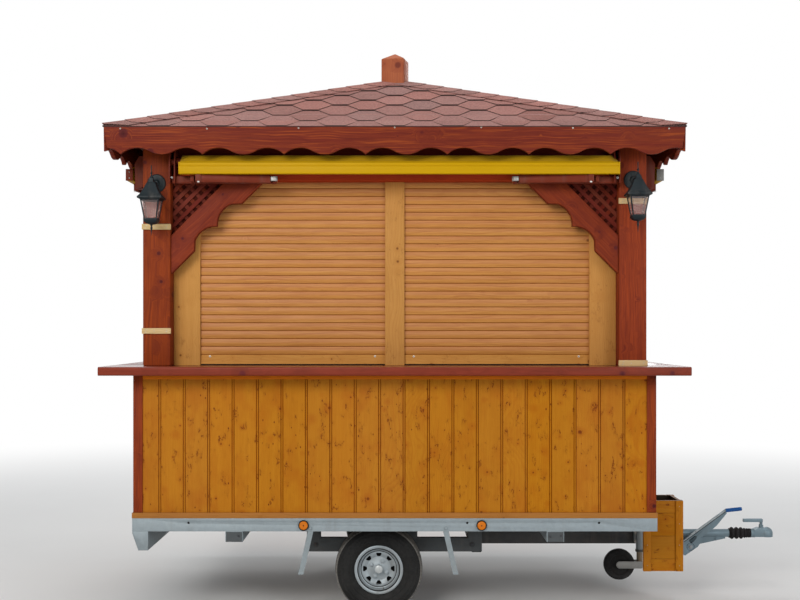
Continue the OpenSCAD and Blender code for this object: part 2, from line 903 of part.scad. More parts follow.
// Angle strip round the box's front near corner
module box_corner() {
    out = box_strip_t;
    linear_extrude(box_h)
        polygon([
            [out, -out], [out - box_strip_w, -out], [out - box_strip_w, 0], [0, 0],
            [0, box_strip_w - out], [out, box_strip_w - out]
        ]);
}

// Stall body

module floor_deck() {
    color("#8a6a48")
        block([-half_l, -half_d, rail_top], [half_l, half_d, deck_top]);
}

// Upright grooves between the boards of a wall that faces the near side
module board_grooves(length) {
    count = floor((length / 2 - trim_w) / board_w);
    for (i = [-count:count])
        translate([i * board_w, 0, 0])
            rotate([0, 0, 45])
                translate([-groove_d / sqrt(2), -groove_d / sqrt(2), -1])
                    cube([groove_d * sqrt(2), groove_d * sqrt(2), wall_h + 2]);
}

module long_wall() {
    difference() {
        block([-half_l, -half_d, deck_top], [half_l, -half_d + wall_t, counter_z]);
        translate([0, -half_d, deck_top]) board_grooves(body_l);
    }
}

module front_lower_wall() {
    color("#b9772a") long_wall();
}

module back_lower_wall() {
    color("#b9772a") mirror([0, 1, 0]) long_wall();
}

module end_lower_walls() {
    inner = half_d - wall_t;
    color("#b9772a")
        both_ends()
            end_face()
                difference() {
                    block([-inner, -half_l, deck_top], [inner, -half_l + wall_t, counter_z]);
                    translate([0, -half_l, deck_top]) board_grooves(2 * inner);
                }
}

// Angle strips on the four corners
module corner_trims() {
    out = trim_t;
    z = deck_top + skirting_h - deck_t;
    color("#8c3a22")
        both_sides()
            both_ends()
                translate([half_l, -half_d, z])
                    linear_extrude(counter_z - z)
                        polygon([
                            [out, -out], [-trim_w, -out], [-trim_w, 0], [0, 0], [0, trim_w],
                            [out, trim_w]
                        ]);
}

// Skirting boards on the deck's edge and mouldings under the counter
module wall_mouldings() {
    out = skirting_t;
    color("#b5743c") {
        both_sides()
            block([-half_l - out, -half_d - out, rail_top],
                [half_l + out, -half_d, rail_top + skirting_h]);
        both_ends()
            block([half_l, -half_d + joint_gap, rail_top],
                [half_l + out, half_d - joint_gap, rail_top + skirting_h]);
        both_sides()
            block([-half_l + trim_w, -half_d - trim_t, counter_z - moulding_h],
                [half_l - trim_w, -half_d, counter_z]);
        both_ends()
            block([half_l, -half_d + trim_w + joint_gap, counter_z - moulding_h],
                [half_l + trim_t, half_d - trim_w - joint_gap, counter_z]);
    }
}

// Board with a rounded outer edge, its front at the low y
module counter_board(low_x, high_x, low_y, high_y) {
    r = counter_edge_r;
    translate([low_x, 0, counter_z])
        rotate([90, 0, 90])
            linear_extrude(high_x - low_x)
                union() {
                    translate([low_y + r, 0]) square([high_y - low_y - r, counter_t]);
                    translate([low_y, r]) square([2 * r, counter_t - 2 * r]);
                    translate([low_y + r, r]) circle(r);
                    translate([low_y + r, counter_t - r]) circle(r);
                }
}

module counter() {
    out_x = half_l + counter_out;
    in_x = half_l - counter_in;
    in_y = half_d - counter_in;
    back_y = half_d + sill_out;
    color("#7d3226") {
        counter_board(-out_x, out_x, -half_d - counter_out, -in_y);
        mirror([0, 1, 0])
            counter_board(-in_x + joint_gap, in_x - joint_gap, -back_y, -in_y);
        both_ends()
            end_face()
                counter_board(-in_y + joint_gap, back_y, -out_x, -in_x);
    }
}

// All that lies under the roof boards
module under_roof() {
    top = apex_z - roof_t - roof_seat;
    edge = top - roof_rise;
    intersection() {
        rotate([90, 0, 90])
            linear_extrude(2 * roof_x, center = true)
                polygon([
                    [-roof_y, 0], [roof_y, 0], [roof_y, edge], [0, top], [-roof_y, edge]
                ]);
        rotate([90, 0, 0])
            linear_extrude(2 * roof_y, center = true)
                polygon([
                    [-roof_x, 0], [roof_x, 0], [roof_x, edge], [0, top], [-roof_x, edge]
                ]);
    }
}

module corner_posts() {
    color("#8a2f1c")
        intersection() {
            both_sides()
                both_ends()
                    block([post_face_x - post_w, -post_face_y, counter_top],
                        [post_face_x, -post_face_y + post_w, apex_z]);
            under_roof();
        }
}

// Boards beside the shutters, and the centre post where there is one
module frame_of_side(face, span, has_centre) {
    front = -face + recess;
    back = -face + post_w;
    for (side = [-1, 1])
        block([side * (span / 2 - side_board_w / 2) - side_board_w / 2, front, counter_top],
            [side * (span / 2 - side_board_w / 2) + side_board_w / 2, back, header_z]);
    if (has_centre)
        block([-centre_post_w / 2, front, counter_top], [centre_post_w / 2, back, header_z]);
}

module shutter_frames() {
    color("#c58a3f") {
        both_sides() frame_of_side(post_face_y, long_span, true);
        both_ends() end_face() frame_of_side(post_face_x, end_span, false);
    }
}

// Shutter curtain of convex slats over a flat bottom bar, between two x values
module curtain(face, low_x, high_x) {
    front = -face + recess + 22;
    low_z = counter_top + bottom_gap;
    slats_z = low_z + bottom_bar_h;
    slat_zone = header_z - slats_z;
    count = ceil(slat_zone / slat_h);
    steps = 4;
    translate([low_x, 0, 0])
        rotate([90, 0, 90])
            linear_extrude(high_x - low_x)
                intersection() {
                    polygon([
                        [front + curtain_t, low_z], [front - 4, low_z], [front - 4, slats_z],
                        for (i = [0:count - 1])
                            for (k = [0:steps - 1])
                                [front - slat_bulge * sin(180 * k / steps),
                                    slats_z + (i + k / steps) * slat_h],
                        [front, slats_z + count * slat_h],
                        [front + curtain_t, slats_z + count * slat_h]
                    ]);
                    translate([front - 50, 0]) square([100, header_z]);
                }
}

module long_shutters() {
    color("#b9783c")
        both_sides()
            both_ends()
                curtain(post_face_y, centre_post_w / 2, long_span / 2 - side_board_w);
}

module end_shutters() {
    color("#b9783c")
        both_ends()
            end_face()
                curtain(post_face_x, -end_span / 2 + side_board_w, end_span / 2 - side_board_w);
}

// Header over the openings, which houses the shutters' rolls
module header_boxes() {
    color("#7d2a1b")
        intersection() {
            union() {
                both_sides()
                    block([-long_span / 2, -post_face_y + header_recess, header_z],
                        [long_span / 2, -post_face_y + post_w, apex_z]);
                both_ends()
                    block([post_face_x - post_w, -end_span / 2, header_z],
                        [post_face_x - header_recess, end_span / 2, apex_z]);
            }
            under_roof();
        }
}

// Points on an arc from one angle to another
function arc_points(centre, r, from, to, steps) =
    [for (i = [0:steps]) let (a = from + (to - from) * i / steps)
        [centre[0] + r * cos(a), centre[1] + r * sin(a)]];

// Brace in the corner of a post and a header, corner at the origin, post to the left
module brace_shape() {
    outer_n = brace_outer / sqrt(2);
    inner_n = brace_leg / sqrt(2);
    notch_s = 150;
    notch_n = inner_n - 42;
    cusp_n = inner_n - 6;
    chord = norm([notch_s, cusp_n - notch_n]);
    sag = sqrt(brace_scallop_r * brace_scallop_r - chord * chord / 4);
    middle = [-notch_s / 2, (cusp_n + notch_n) / 2];
    normal = [-(cusp_n - notch_n), notch_s] / chord;
    centre = middle + sag * normal;
    a0 = atan2(notch_n - centre[1], -notch_s - centre[0]);
    a1 = atan2(cusp_n - centre[1], 0 - centre[0]);
    half = concat([[-inner_n, inner_n], [-notch_s - 45, inner_n]],
        arc_points(centre, brace_scallop_r, a0, a1, 8));
    steps = len(half);
    outline = concat(half, [for (i = [steps - 2:-1:0]) [-half[i][0], half[i][1]]],
        [[outer_n, outer_n], [-outer_n, outer_n]]);
    polygon([for (p = outline) [(p[0] + p[1]) / sqrt(2), (p[0] - p[1]) / sqrt(2)]]);
}

// Puts a flat shape in both upper corners of an opening, its back at the depth given
module in_corners(face, span, depth, thick) {
    for (side = [0, 1])
        mirror([side, 0, 0])
            translate([-span / 2, -face + depth + thick, header_z])
                rotate([90, 0, 0])
                    linear_extrude(thick)
                        children();
}

module post_braces() {
    color("#8a3320") {
        both_sides() in_corners(post_face_y, long_span, brace_in, brace_t) brace_shape();
        both_ends()
            end_face() in_corners(post_face_x, end_span, brace_in, brace_t) brace_shape();
    }
}

// Triangle of parallel bars behind a brace
module lattice_shape(turn) {
    leg = brace_outer + 60;
    reach = leg * sqrt(2);
    count = ceil(reach / lattice_pitch);
    intersection() {
        polygon([[0, 0], [leg, 0], [0, -leg]]);
        for (i = [-count:count])
            rotate([0, 0, turn])
                translate([-reach, i * lattice_pitch - lattice_bar / 2])
                    square([2 * reach, lattice_bar]);
    }
}

// Two crossed layers of bars, and the board that closes the corner behind them
module lattice_pair(face, span) {
    front = brace_in + brace_t;
    leg = brace_outer + 60;
    in_corners(face, span, front, lattice_t) lattice_shape(45);
    in_corners(face, span, front + lattice_t, lattice_t) lattice_shape(-45);
    in_corners(face, span, front + 2 * lattice_t, lattice_back_t)
        polygon([[0, 0], [leg, 0], [0, -leg]]);
}

module lattice_panels() {
    color("#7a2c1c") {
        both_sides() lattice_pair(post_face_y, long_span);
        both_ends() end_face() lattice_pair(post_face_x, end_span);
    }
}

// Depth of the scalloped edge at a distance from the middle of a round lobe
function scallop(u) =
    let (half = scallop_l / 2, arch = 0.597 * half, cusp = half - arch,
        r_arch = (cusp * cusp + scallop_h * scallop_h) / (2 * scallop_h),
        turn = 2 * atan(scallop_h / arch), r_lobe = arch / sin(turn) - r_arch)
    u < r_lobe * sin(turn) ? -scallop_h + r_lobe - sqrt(r_lobe * r_lobe - u * u)
        : -(r_arch - sqrt(r_arch * r_arch - (u - arch) * (u - arch)));

// One fascia board that faces the near side, with its ends cut to a mitre
module fascia_board(out, reach, phase) {
    step = scallop_l / 24;
    first = ceil((-reach - phase) / step);
    last = floor((reach - phase) / step);
    edge_z = eaves_z - fascia_h + scallop_h;
    intersection() {
        translate([0, -out + fascia_t, 0])
            rotate([90, 0, 0])
                linear_extrude(fascia_t)
                    polygon([
                        [reach, eaves_z], [-reach, eaves_z],
                        for (i = [first:last])
                            let (x = phase + i * step, u = abs(i - 24 * round(i / 24)) * step)
                                [x, edge_z + scallop(u)]
                    ]);
        linear_extrude(eaves_z + 1)
            polygon([
                [-reach + joint_gap, -out], [reach - joint_gap, -out],
                [reach - out - joint_gap, 0], [-reach + out + joint_gap, 0]
            ]);
    }
}

module fascia_boards() {
    out_x = half_l + eaves_out;
    out_y = half_d + eaves_out;
    color("#8a2a1c") {
        both_sides() fascia_board(out_y, out_x, scallop_shift);
        both_ends() end_face() fascia_board(out_x, out_y, 0);
    }
}

// One roof face towards the near side: out and reach are its half depth and half length
module roof_face(out, reach) {
    edge = eaves_z + drip_t;
    lip = (roof_t - drip_t) * out / roof_rise;
    intersection() {
        rotate([90, 0, 90])
            linear_extrude(2 * reach, center = true)
                polygon([
                    [-out, edge], [-out, eaves_z], [-out + lip, eaves_z],
                    [0, edge + roof_rise - roof_t], [0, edge + roof_rise]
                ]);
        linear_extrude(apex_z + 1)
            polygon([
                [-reach + joint_gap, -out], [reach - joint_gap, -out], [0, -joint_gap]
            ]);
    }
}

module roof_panels() {
    color("#9a5f5a")
        difference() {
            union() {
                both_sides() roof_face(roof_y, roof_x);
                both_ends() end_face() roof_face(roof_x, roof_y);
            }
            finial_hole();
        }
}

module finial_hole() {
    rotate([0, 0, finial_turn])
        translate([0, 0, apex_z])
            cube([finial_w, finial_w, 400], center = true);
}

// Square post with a pyramid cap, let into the roof's apex
module finial_post() {
    base = apex_z - 110;
    color("#93422c")
        rotate([0, 0, finial_turn])
            union() {
                block([-finial_w / 2, -finial_w / 2, base],
                    [finial_w / 2, finial_w / 2, apex_z + finial_h]);
                translate([0, 0, apex_z + finial_h])
                    intersection() {
                        pyramid_side();
                        rotate([0, 0, 90]) pyramid_side();
                    }
            }
}

module pyramid_side() {
    rotate([90, 0, 0])
        linear_extrude(finial_w, center = true)
            polygon([[-finial_w / 2, 0], [finial_w / 2, 0], [0, finial_cap_h]]);
}

// Folding arm awnings, all drawn on the near side and turned to their places

// Roller with its cloth, between two brackets on the header
module awning_roller(face, span) {
    y = -face - roller_out;
    back = -face + header_recess;
    r = roller_d / 2;
    foot = bar_z - arm_h - run_gap;
    translate([-span / 2 + bracket_in, y, roller_z])
        rotate([0, 90, 0])
            cylinder(d = roller_d, h = span - 2 * bracket_in);
    for (side = [0, 1])
        mirror([side, 0, 0])
            translate([span / 2 - bracket_in, 0, 0])
                rotate([90, 0, 90])
                    linear_extrude(bracket_in - bracket_gap)
                        polygon([
                            [back, header_z + 2], [y - 0.5 * r, foot], [y - 1.1 * r, foot],
                            [y - 1.2 * r, roller_z], [y - 0.5 * r, roller_z + 1.2 * r],
                            [back, roller_z + 1.2 * r]
                        ]);
}

module awning_rollers() {
    color("#7c3426") {
        awning_roller(post_face_y, long_span);
        both_ends() end_face() awning_roller(post_face_x, end_span);
    }
}

module awning_bar(face, length, shift) {
    block([shift - length / 2, -face - bar_out, bar_z],
        [shift + length / 2, -face - bar_out + bar_t, bar_z + bar_h]);
}

module awning_bars() {
    color("#d3aa08") {
        awning_bar(post_face_y, long_bar_l, long_bar_shift);
        both_ends() end_face() awning_bar(post_face_x, end_bar_l, 0);
    }
}

// Two folded arms under the bar
module arm_pair(face, span) {
    shoulder = span / 2 - bracket_in;
    elbow = shoulder - arm_l;
    front = -bar_out + bar_t - 2;
    for (side = [0, 1])
        mirror([side, 0, 0])
            translate([0, -face, bar_z - run_gap - arm_h]) {
                block([elbow - 28, -88, 0], [elbow, -30, arm_h]);
                block([elbow, -32 - arm_t, 0], [shoulder, -32, arm_h]);
                linear_extrude(arm_h)
                    polygon([
                        [elbow, -60], [elbow, -60 - arm_t], [elbow + fore_arm_l, front - arm_t],
                        [elbow + fore_arm_l, front]
                    ]);
            }
}

module awning_arms() {
    color("#7c3426") {
        arm_pair(post_face_y, long_span);
        both_ends() end_face() arm_pair(post_face_x, end_span);
    }
}

// Cloth from the top of the roller to the top of the bar
module awning_cloth(face, length, shift) {
    y = -face - roller_out;
    r = roller_d / 2 + 2 * run_gap;
    bar_top = [roller_out - bar_out + bar_t / 2, bar_z + bar_h + run_gap - roller_z];
    lift = 360 + atan2(bar_top[1], bar_top[0]) - acos(r / norm(bar_top));
    translate([shift - length / 2, y, roller_z])
        rotate([90, 0, 90])
            linear_extrude(length)
                polygon(concat(
                    arc_points([0, 0], r, 80, lift, 5),
                    [bar_top, bar_top + [0, cloth_t]],
                    arc_points([0, 0], r + cloth_t, lift, 80, 5)
                ));
}

module awning_cloths() {
    color("#c79f0a") {
        awning_cloth(post_face_y, long_span - 110, 0);
        both_ends() end_face() awning_cloth(post_face_x, end_span - 110, 0);
    }
}

// Lanterns on the two near posts

// Solid with square sections. The profile gives half widths and heights, from the top down
module square_turned(profile) {
    count = len(profile);
    outline = concat(profile, [for (i = [count - 1:-1:0]) [-profile[i][0], profile[i][1]]]);
    width = 2 * max([for (p = profile) p[0]]) + 2;
    intersection() {
        rotate([90, 0, 0]) linear_extrude(width, center = true) polygon(outline);
        rotate([90, 0, 90]) linear_extrude(width, center = true) polygon(outline);
    }
}

// Half width of the glass cage at a depth under its top
function cage_half(depth) = (cage_top + (cage_foot - cage_top) * depth / cage_h) / 2;

// Tapered square body inside the cage, between two depths
module cage_body(inset, from, to) {
    square_turned([
        [cage_half(from) - inset, cage_z - from], [cage_half(to) - inset, cage_z - to]
    ]);
}

// Four windows in the cage, which leave a bar on each corner
module cage_windows() {
    bar = 7;
    top = 3;
    outline = [
        [cage_half(top) - bar, cage_z - top], [cage_half(cage_h - top) - bar, cage_z - cage_h + top],
        [bar - cage_half(cage_h - top), cage_z - cage_h + top], [bar - cage_half(top), cage_z - top]
    ];
    rotate([90, 0, 0]) linear_extrude(2 * cage_top, center = true) polygon(outline);
    rotate([90, 0, 90]) linear_extrude(2 * cage_top, center = true) polygon(outline);
}

// Turned spindle over a square collar, flared roof, glass cage, bowl and spike
module lantern_head() {
    half = lantern_w / 2;
    foot = cage_z - cage_h;
    top_r = cage_half(0);
    foot_r = cage_half(cage_h);
    union() {
        rotate_extrude()
            polygon([
                [0, 0], [3, -4], [3, -40], [7.5, -47], [3, -54], [5, -62],
                [collar_w / 2, collar_z + 1], [collar_w / 2, collar_z - 1], [0, collar_z - 1]
            ]);
        translate([-collar_w / 2, -collar_w / 2, collar_z - collar_w])
            cube([collar_w, collar_w, collar_w]);
        difference() {
            square_turned([
                [20, collar_z - collar_w], [26, brim_z + 78], [31, brim_z + 66],
                [40, brim_z + 45], [50, brim_z + 25], [half - 6, brim_z + 8], [half, brim_z + 3],
                [half, brim_z - 6], [half - 8, brim_z - 6], [half - 10, cage_z + 3],
                [top_r, cage_z], [foot_r, foot], [foot_r + 3, foot - 2], [foot_r + 3, foot - 6],
                [foot_r - 1, foot - 16], [foot_r - 10, foot - 26], [14, foot - 31]
            ]);
            cage_body(4, 2, cage_h - 2);
            cage_windows();
        }
        rotate_extrude()
            polygon([
                [0, foot - 30], [9, foot - 30], [4, foot - 42], [7, foot - 53], [3.5, foot - 63],
                [0.8, foot - 95], [0, foot - 95]
            ]);
    }
}

// Round wall plate and the straight arm to the lantern's collar
module lantern_arm() {
    plate_t = 25;
    r = wall_plate_d / 2;
    translate([0, lantern_out, collar_z - collar_w / 2])
        rotate([90, 0, 0]) {
            rotate_extrude()
                polygon([
                    [0, 0], [r, 0], [r, 6], [r - 5, 10], [r - 14, 11], [22, 15], [13, plate_t],
                    [0, plate_t]
                ]);
            translate([0, 0, plate_t])
                cylinder(d = 14, h = lantern_out - plate_t - collar_w / 2);
        }
}

// Copies what it is given to the axes of both lanterns, at their tips
module at_lanterns() {
    for (side = [0, 1])
        mirror([1 - side, 0, 0])
            translate([lantern_x, -post_face_y - lantern_out, header_z + lantern_tip[side]])
                children();
}

module lantern_frames() {
    color("#1b1c20")
        at_lanterns() {
            lantern_head();
            lantern_arm();
        }
}

module lantern_glass() {
    inset = 4 + run_gap;
    color("#cfd6d8")
        at_lanterns()
            difference() {
                cage_body(inset, 3, cage_h - 2);
                cage_body(inset + pane_t, 0, cage_h);
            }
}

// Rough battens nailed on the faces of the two near posts
module post_battens() {
    color("#d9c39a") {
        for (rise = rear_battens) batten(-lantern_x, counter_top + rise);
        for (rise = nose_battens) batten(lantern_x, counter_top + rise);
    }
}

module batten(x, z) {
    reach = post_w / 2 + batten_over;
    block([x - reach, -post_face_y - batten_t, z], [x + reach, -post_face_y, z + batten_h]);
}

side_rails();
cross_channels();
rear_light_board();
axle_beams();
axle();
mudguard_stays();
side_markers();
drawbar();
near_tyre();
near_rim();
far_tyre();
far_rim();
jockey_tube();
jockey_leg();
jockey_fork();
jockey_wheel();
coupling_housing();
coupling_bellows();
coupling_head();
coupling_handle();
handbrake_lever();
drawbar_box();
floor_deck();
front_lower_wall();
back_lower_wall();
end_lower_walls();
corner_trims();
wall_mouldings();
counter();
corner_posts();
shutter_frames();
long_shutters();
end_shutters();
header_boxes();
post_braces();
lattice_panels();
fascia_boards();
roof_panels();
finial_post();
awning_rollers();
awning_bars();
awning_arms();
awning_cloths();
lantern_frames();
lantern_glass();
post_battens();
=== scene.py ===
"""Looks of a wooden market stall on a trailer, built around its packed frame."""

import json
import math
import random

import bpy
import bmesh
from bpy.props import FloatProperty, FloatVectorProperty, PointerProperty
from mathutils import Matrix, Vector


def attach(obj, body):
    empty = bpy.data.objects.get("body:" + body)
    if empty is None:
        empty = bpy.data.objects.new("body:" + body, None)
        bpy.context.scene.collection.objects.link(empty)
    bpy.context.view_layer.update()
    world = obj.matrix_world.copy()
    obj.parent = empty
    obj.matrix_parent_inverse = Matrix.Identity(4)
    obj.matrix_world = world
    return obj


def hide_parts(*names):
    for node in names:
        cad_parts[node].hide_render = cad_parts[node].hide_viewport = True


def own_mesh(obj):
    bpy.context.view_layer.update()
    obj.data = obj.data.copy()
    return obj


bl_info = {
    "name": "Market Stall",
    "version": (1, 0, 0),
    "blender": (4, 5, 0),
    "location": "View3D > Sidebar > Stall",
    "description": "Builds the looks of a wooden market stall on a trailer",
    "category": "Object",
}

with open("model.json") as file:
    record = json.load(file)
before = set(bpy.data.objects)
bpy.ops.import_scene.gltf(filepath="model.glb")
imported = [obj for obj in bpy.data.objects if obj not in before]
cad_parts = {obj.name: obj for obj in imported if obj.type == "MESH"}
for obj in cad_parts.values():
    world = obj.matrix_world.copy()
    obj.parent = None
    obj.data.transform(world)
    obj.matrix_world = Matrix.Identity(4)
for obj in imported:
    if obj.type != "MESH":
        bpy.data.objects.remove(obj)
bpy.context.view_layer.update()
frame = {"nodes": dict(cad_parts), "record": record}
MATS = {}

# Fixed sizes in metres

# How far the posts' faces lie inside the walls' faces
POST_IN = 0.038
# Side of a corner post
POST_W = 0.160
# Width of the boards between a post and its shutter
SIDE_BOARD_W = 0.156
# Thickness of the lower walls
WALL_T = 0.060
# Distance of an awning's roll in front of the posts, and its height over the header's foot
ROLL_OUT, ROLL_RISE = 0.038, 0.100
# Distance of an awning's front bar in front of the posts, and its height over that foot
BAR_OUT, BAR_RISE = 0.138, 0.017
# Distance of a post's axis from the middle
POST_X = 1.382

# Colours that several finishes share
WHITE = (1.0, 1.0, 1.0)
DUST = (0.34, 0.29, 0.23)
GRIME = (0.13, 0.115, 0.10)

# Corners of the six faces of a box, seen from outside
BOX_FACES = [(0, 3, 2, 1), (4, 5, 6, 7), (0, 1, 5, 4), (1, 2, 6, 5), (2, 3, 7, 6), (3, 0, 4, 7)]


# Settings

def size(name, text, value):
    """A length setting in metres."""
    return FloatProperty(name=name, description=text, default=value, unit="LENGTH", min=0.0)


def tone(name, text, value):
    """A colour setting."""
    return FloatVectorProperty(
        name=name, description=text, default=value, subtype="COLOR", size=3, min=0.0, max=1.0)


class StallSizes(bpy.types.PropertyGroup):
    """Sizes of what is added to the frame."""
    half_l: size("Half length", "Half the length of the boarded body", 1.500)
    half_d: size("Half depth", "Half the depth of the boarded body", 1.000)
    deck_top: size("Deck top", "Height of the floor deck's top", 0.613)
    counter_z: size("Counter underside", "Height of the counter's underside", 1.422)
    counter_top: size("Counter top", "Height of the counter's top", 1.472)
    header_z: size("Header underside", "Height of the header's underside", 2.551)
    eaves_z: size("Eaves", "Height of the fascia's top edge", 2.834)
    roof_rise: size("Roof rise", "Rise of the roof from its edge to its apex", 0.492)
    board_w: size("Board width", "Width of one wall board", 0.141)
    bead_w: size("Bead width", "Width of the bead on a wall board's edge", 0.0085)
    groove_w: size("Groove width", "Width of the grooves on both sides of a bead", 0.0035)
    groove_d: size("Groove depth", "Depth of the grooves on both sides of a bead", 0.004)
    shingle_period: size("Shingle period", "Distance from tab to tab along a row", 0.333)
    shingle_row: size("Shingle row", "Distance from row to row up the slope", 0.140)
    shingle_t: size("Shingle thickness", "Thickness of one shingle", 0.0045)
    shingle_sink: size("Shingle sink", "Depth of the lowest shingle under the roof's face", 0.012)
    roof_reach: size("Roof reach", "How far the roof reaches past the boarded body", 0.151)
    drip_t: size("Drip height", "Height of the shingle edge over the fascia", 0.005)
    slat_h: size("Slat height", "Height of one shutter slat", 0.0466)
    wheel_z: size("Wheel height", "Height of the wheel's centre", 0.260)


class StallColours(bpy.types.PropertyGroup):
    """Colours of the stains, paints and metals."""
    honey: tone("Honey stain", "Stained pine of the lower walls", (0.425, 0.157, 0.006))
    pale_honey: tone("Pale honey stain", "Boards beside the shutters", (0.505, 0.236, 0.056))
    red: tone("Red stain", "Posts, braces and trims", (0.208, 0.034, 0.010))
    dark_red: tone("Dark red stain", "Counter, header and soffit", (0.200, 0.030, 0.012))
    slat: tone("Slat print", "Wood print of the shutter slats", (0.470, 0.200, 0.042))
    raw: tone("Raw pine", "Battens on the posts", (0.60, 0.43, 0.21))
    shingle: tone("Shingle grit", "Mineral grit of the shingles", (0.292, 0.134, 0.115))
    yellow: tone("Awning yellow", "Awning bar and cloth", (0.500, 0.285, 0.0008))
    brown: tone("Awning brown", "Awning arms and brackets", (0.17, 0.032, 0.016))
    zinc: tone("Zinc", "Galvanised rails", (0.232, 0.272, 0.290))
    soot: tone("Chassis paint", "Dark parts of the chassis", (0.022, 0.027, 0.032))
    plate: tone("Coupling zinc", "Blue grey zinc of the coupling", (0.27, 0.36, 0.41))


def sizes():
    return bpy.context.scene.stall_sizes


def colours():
    return bpy.context.scene.stall_colours


# Node graphs

class Value:
    """An output of a node, which plain arithmetic joins to Math nodes."""

    def __init__(self, graph, socket):
        self.graph = graph
        self.socket = socket

    def __add__(self, other):
        return self.graph.math("ADD", self, other)

    def __sub__(self, other):
        return self.graph.math("SUBTRACT", self, other)

    def __mul__(self, other):
        """Times a number or a value, or each axis times its own number."""
        if isinstance(other, tuple):
            return self.graph.vector("MULTIPLY", self, other)
        return self.graph.math("MULTIPLY", self, other)

    def __truediv__(self, other):
        return self.graph.math("DIVIDE", self, other)


class Graph:
    """Short calls that add nodes to one tree."""

    def __init__(self, tree):
        self.nodes = tree.nodes
        self.links = tree.links

    def put(self, socket, value):
        """Links a value to a socket, or sets the socket to a number or colour."""
        if isinstance(value, Value):
            self.links.new(value.socket, socket)
            return
        if hasattr(socket.default_value, "__len__") and len(socket.default_value) == 4:
            value = tuple(value)[:3] + (1.0,)
        socket.default_value = value

    def fill(self, node, values):
        """Puts a value on each named or numbered input of a node."""
        for key, value in values.items():
            self.put(node.inputs[key], value)

    def add(self, kind, values=None, out=0, **props):
        """A new node, with one output or several."""
        n = self.nodes.new("ShaderNode" + kind)
        for key, value in props.items():
            setattr(n, key, value)
        self.fill(n, values or {})
        if isinstance(out, tuple):
            return tuple(Value(self, n.outputs[o]) for o in out)
        return Value(self, n.outputs[out])

    def math(self, what, a, b=0.0):
        return self.add("Math", {0: a, 1: b}, operation=what)

    def fract(self, value):
        return self.math("FRACT", value)

    def vector(self, what, a, b):
        return self.add("VectorMath", {0: a, 1: b}, operation=what)

    def length(self, vector):
        return self.add("VectorMath", {0: vector}, out=1, operation="LENGTH")

    def span(self, value, low, high, to_low=0.0, to_high=1.0, kind="SMOOTHSTEP"):
        """A value from low to high, brought to another range with soft ends."""
        return self.add("MapRange", dict(enumerate((value, low, high, to_low, to_high))),
                        interpolation_type=kind)

    def line(self, value, to_low, to_high):
        """A value from 0 to 1, brought evenly to another range."""
        return self.span(value, 0.0, 1.0, to_low, to_high, "LINEAR")

    def mix(self, factor, a, b, how="MIX"):
        """Colour a, with colour b over it by the factor."""
        return self.add("Mix", {0: factor, 6: a, 7: b}, out=2, data_type="RGBA", blend_type=how,
                        clamp_factor=True)

    def noise(self, vector, scale=1.0, detail=3.0, rough=0.55, out=0):
        return self.add("TexNoise", {"Vector": vector, "Scale": scale, "Detail": detail,
                                     "Roughness": rough}, out=out)

    def cells(self, vector, scale=1.0, jitter=1.0):
        """Distance to the nearest of scattered points, and that point's own colour."""
        return self.add("TexVoronoi", {"Vector": vector, "Scale": scale, "Randomness": jitter},
                        out=("Distance", "Color"))

    def xyz(self, x=0.0, y=0.0, z=0.0):
        return self.add("CombineXYZ", {"X": x, "Y": y, "Z": z})

    def split(self, vector):
        return self.add("SeparateXYZ", {"Vector": vector}, out=(0, 1, 2))

    def here(self):
        """Place on the object, in its own coordinates."""
        return self.add("TexCoord", out="Object")

    def attribute(self, name, out="Fac"):
        return self.add("Attribute", out=out, attribute_name=name)

    def bump(self, height, distance, strength=1.0):
        return self.add("Bump", {"Height": height, "Distance": distance, "Strength": strength})

    def shift_tone(self, colour, hue, saturation, value):
        return self.add("HueSaturation", {"Hue": hue, "Saturation": saturation, "Value": value,
                                          "Fac": 1.0, "Color": colour})


def group(name, inputs, outputs, build):
    """A shared node group that puts out only values, made once."""
    if name in bpy.data.node_groups:
        return bpy.data.node_groups[name]
    tree = bpy.data.node_groups.new(name, "ShaderNodeTree")
    for label, default in inputs:
        kind = "NodeSocketVector" if default is None else "NodeSocketFloat"
        s = tree.interface.new_socket(label, in_out="INPUT", socket_type=kind)
        if default is not None:
            s.default_value = default
    for label in outputs:
        tree.interface.new_socket(label, in_out="OUTPUT", socket_type="NodeSocketFloat")
    g = Graph(tree)
    start = tree.nodes.new("NodeGroupInput")
    end = tree.nodes.new("NodeGroupOutput")
    g.fill(end, build(g, {s.name: Value(g, s) for s in start.outputs if s.name}))
    return tree


def use(g, tree, values):
    """The outputs of a shared group in a graph, by name."""
    n = g.nodes.new("ShaderNodeGroup")
    n.node_tree = tree
    g.fill(n, values)
    return {s.name: Value(g, s) for s in n.outputs}


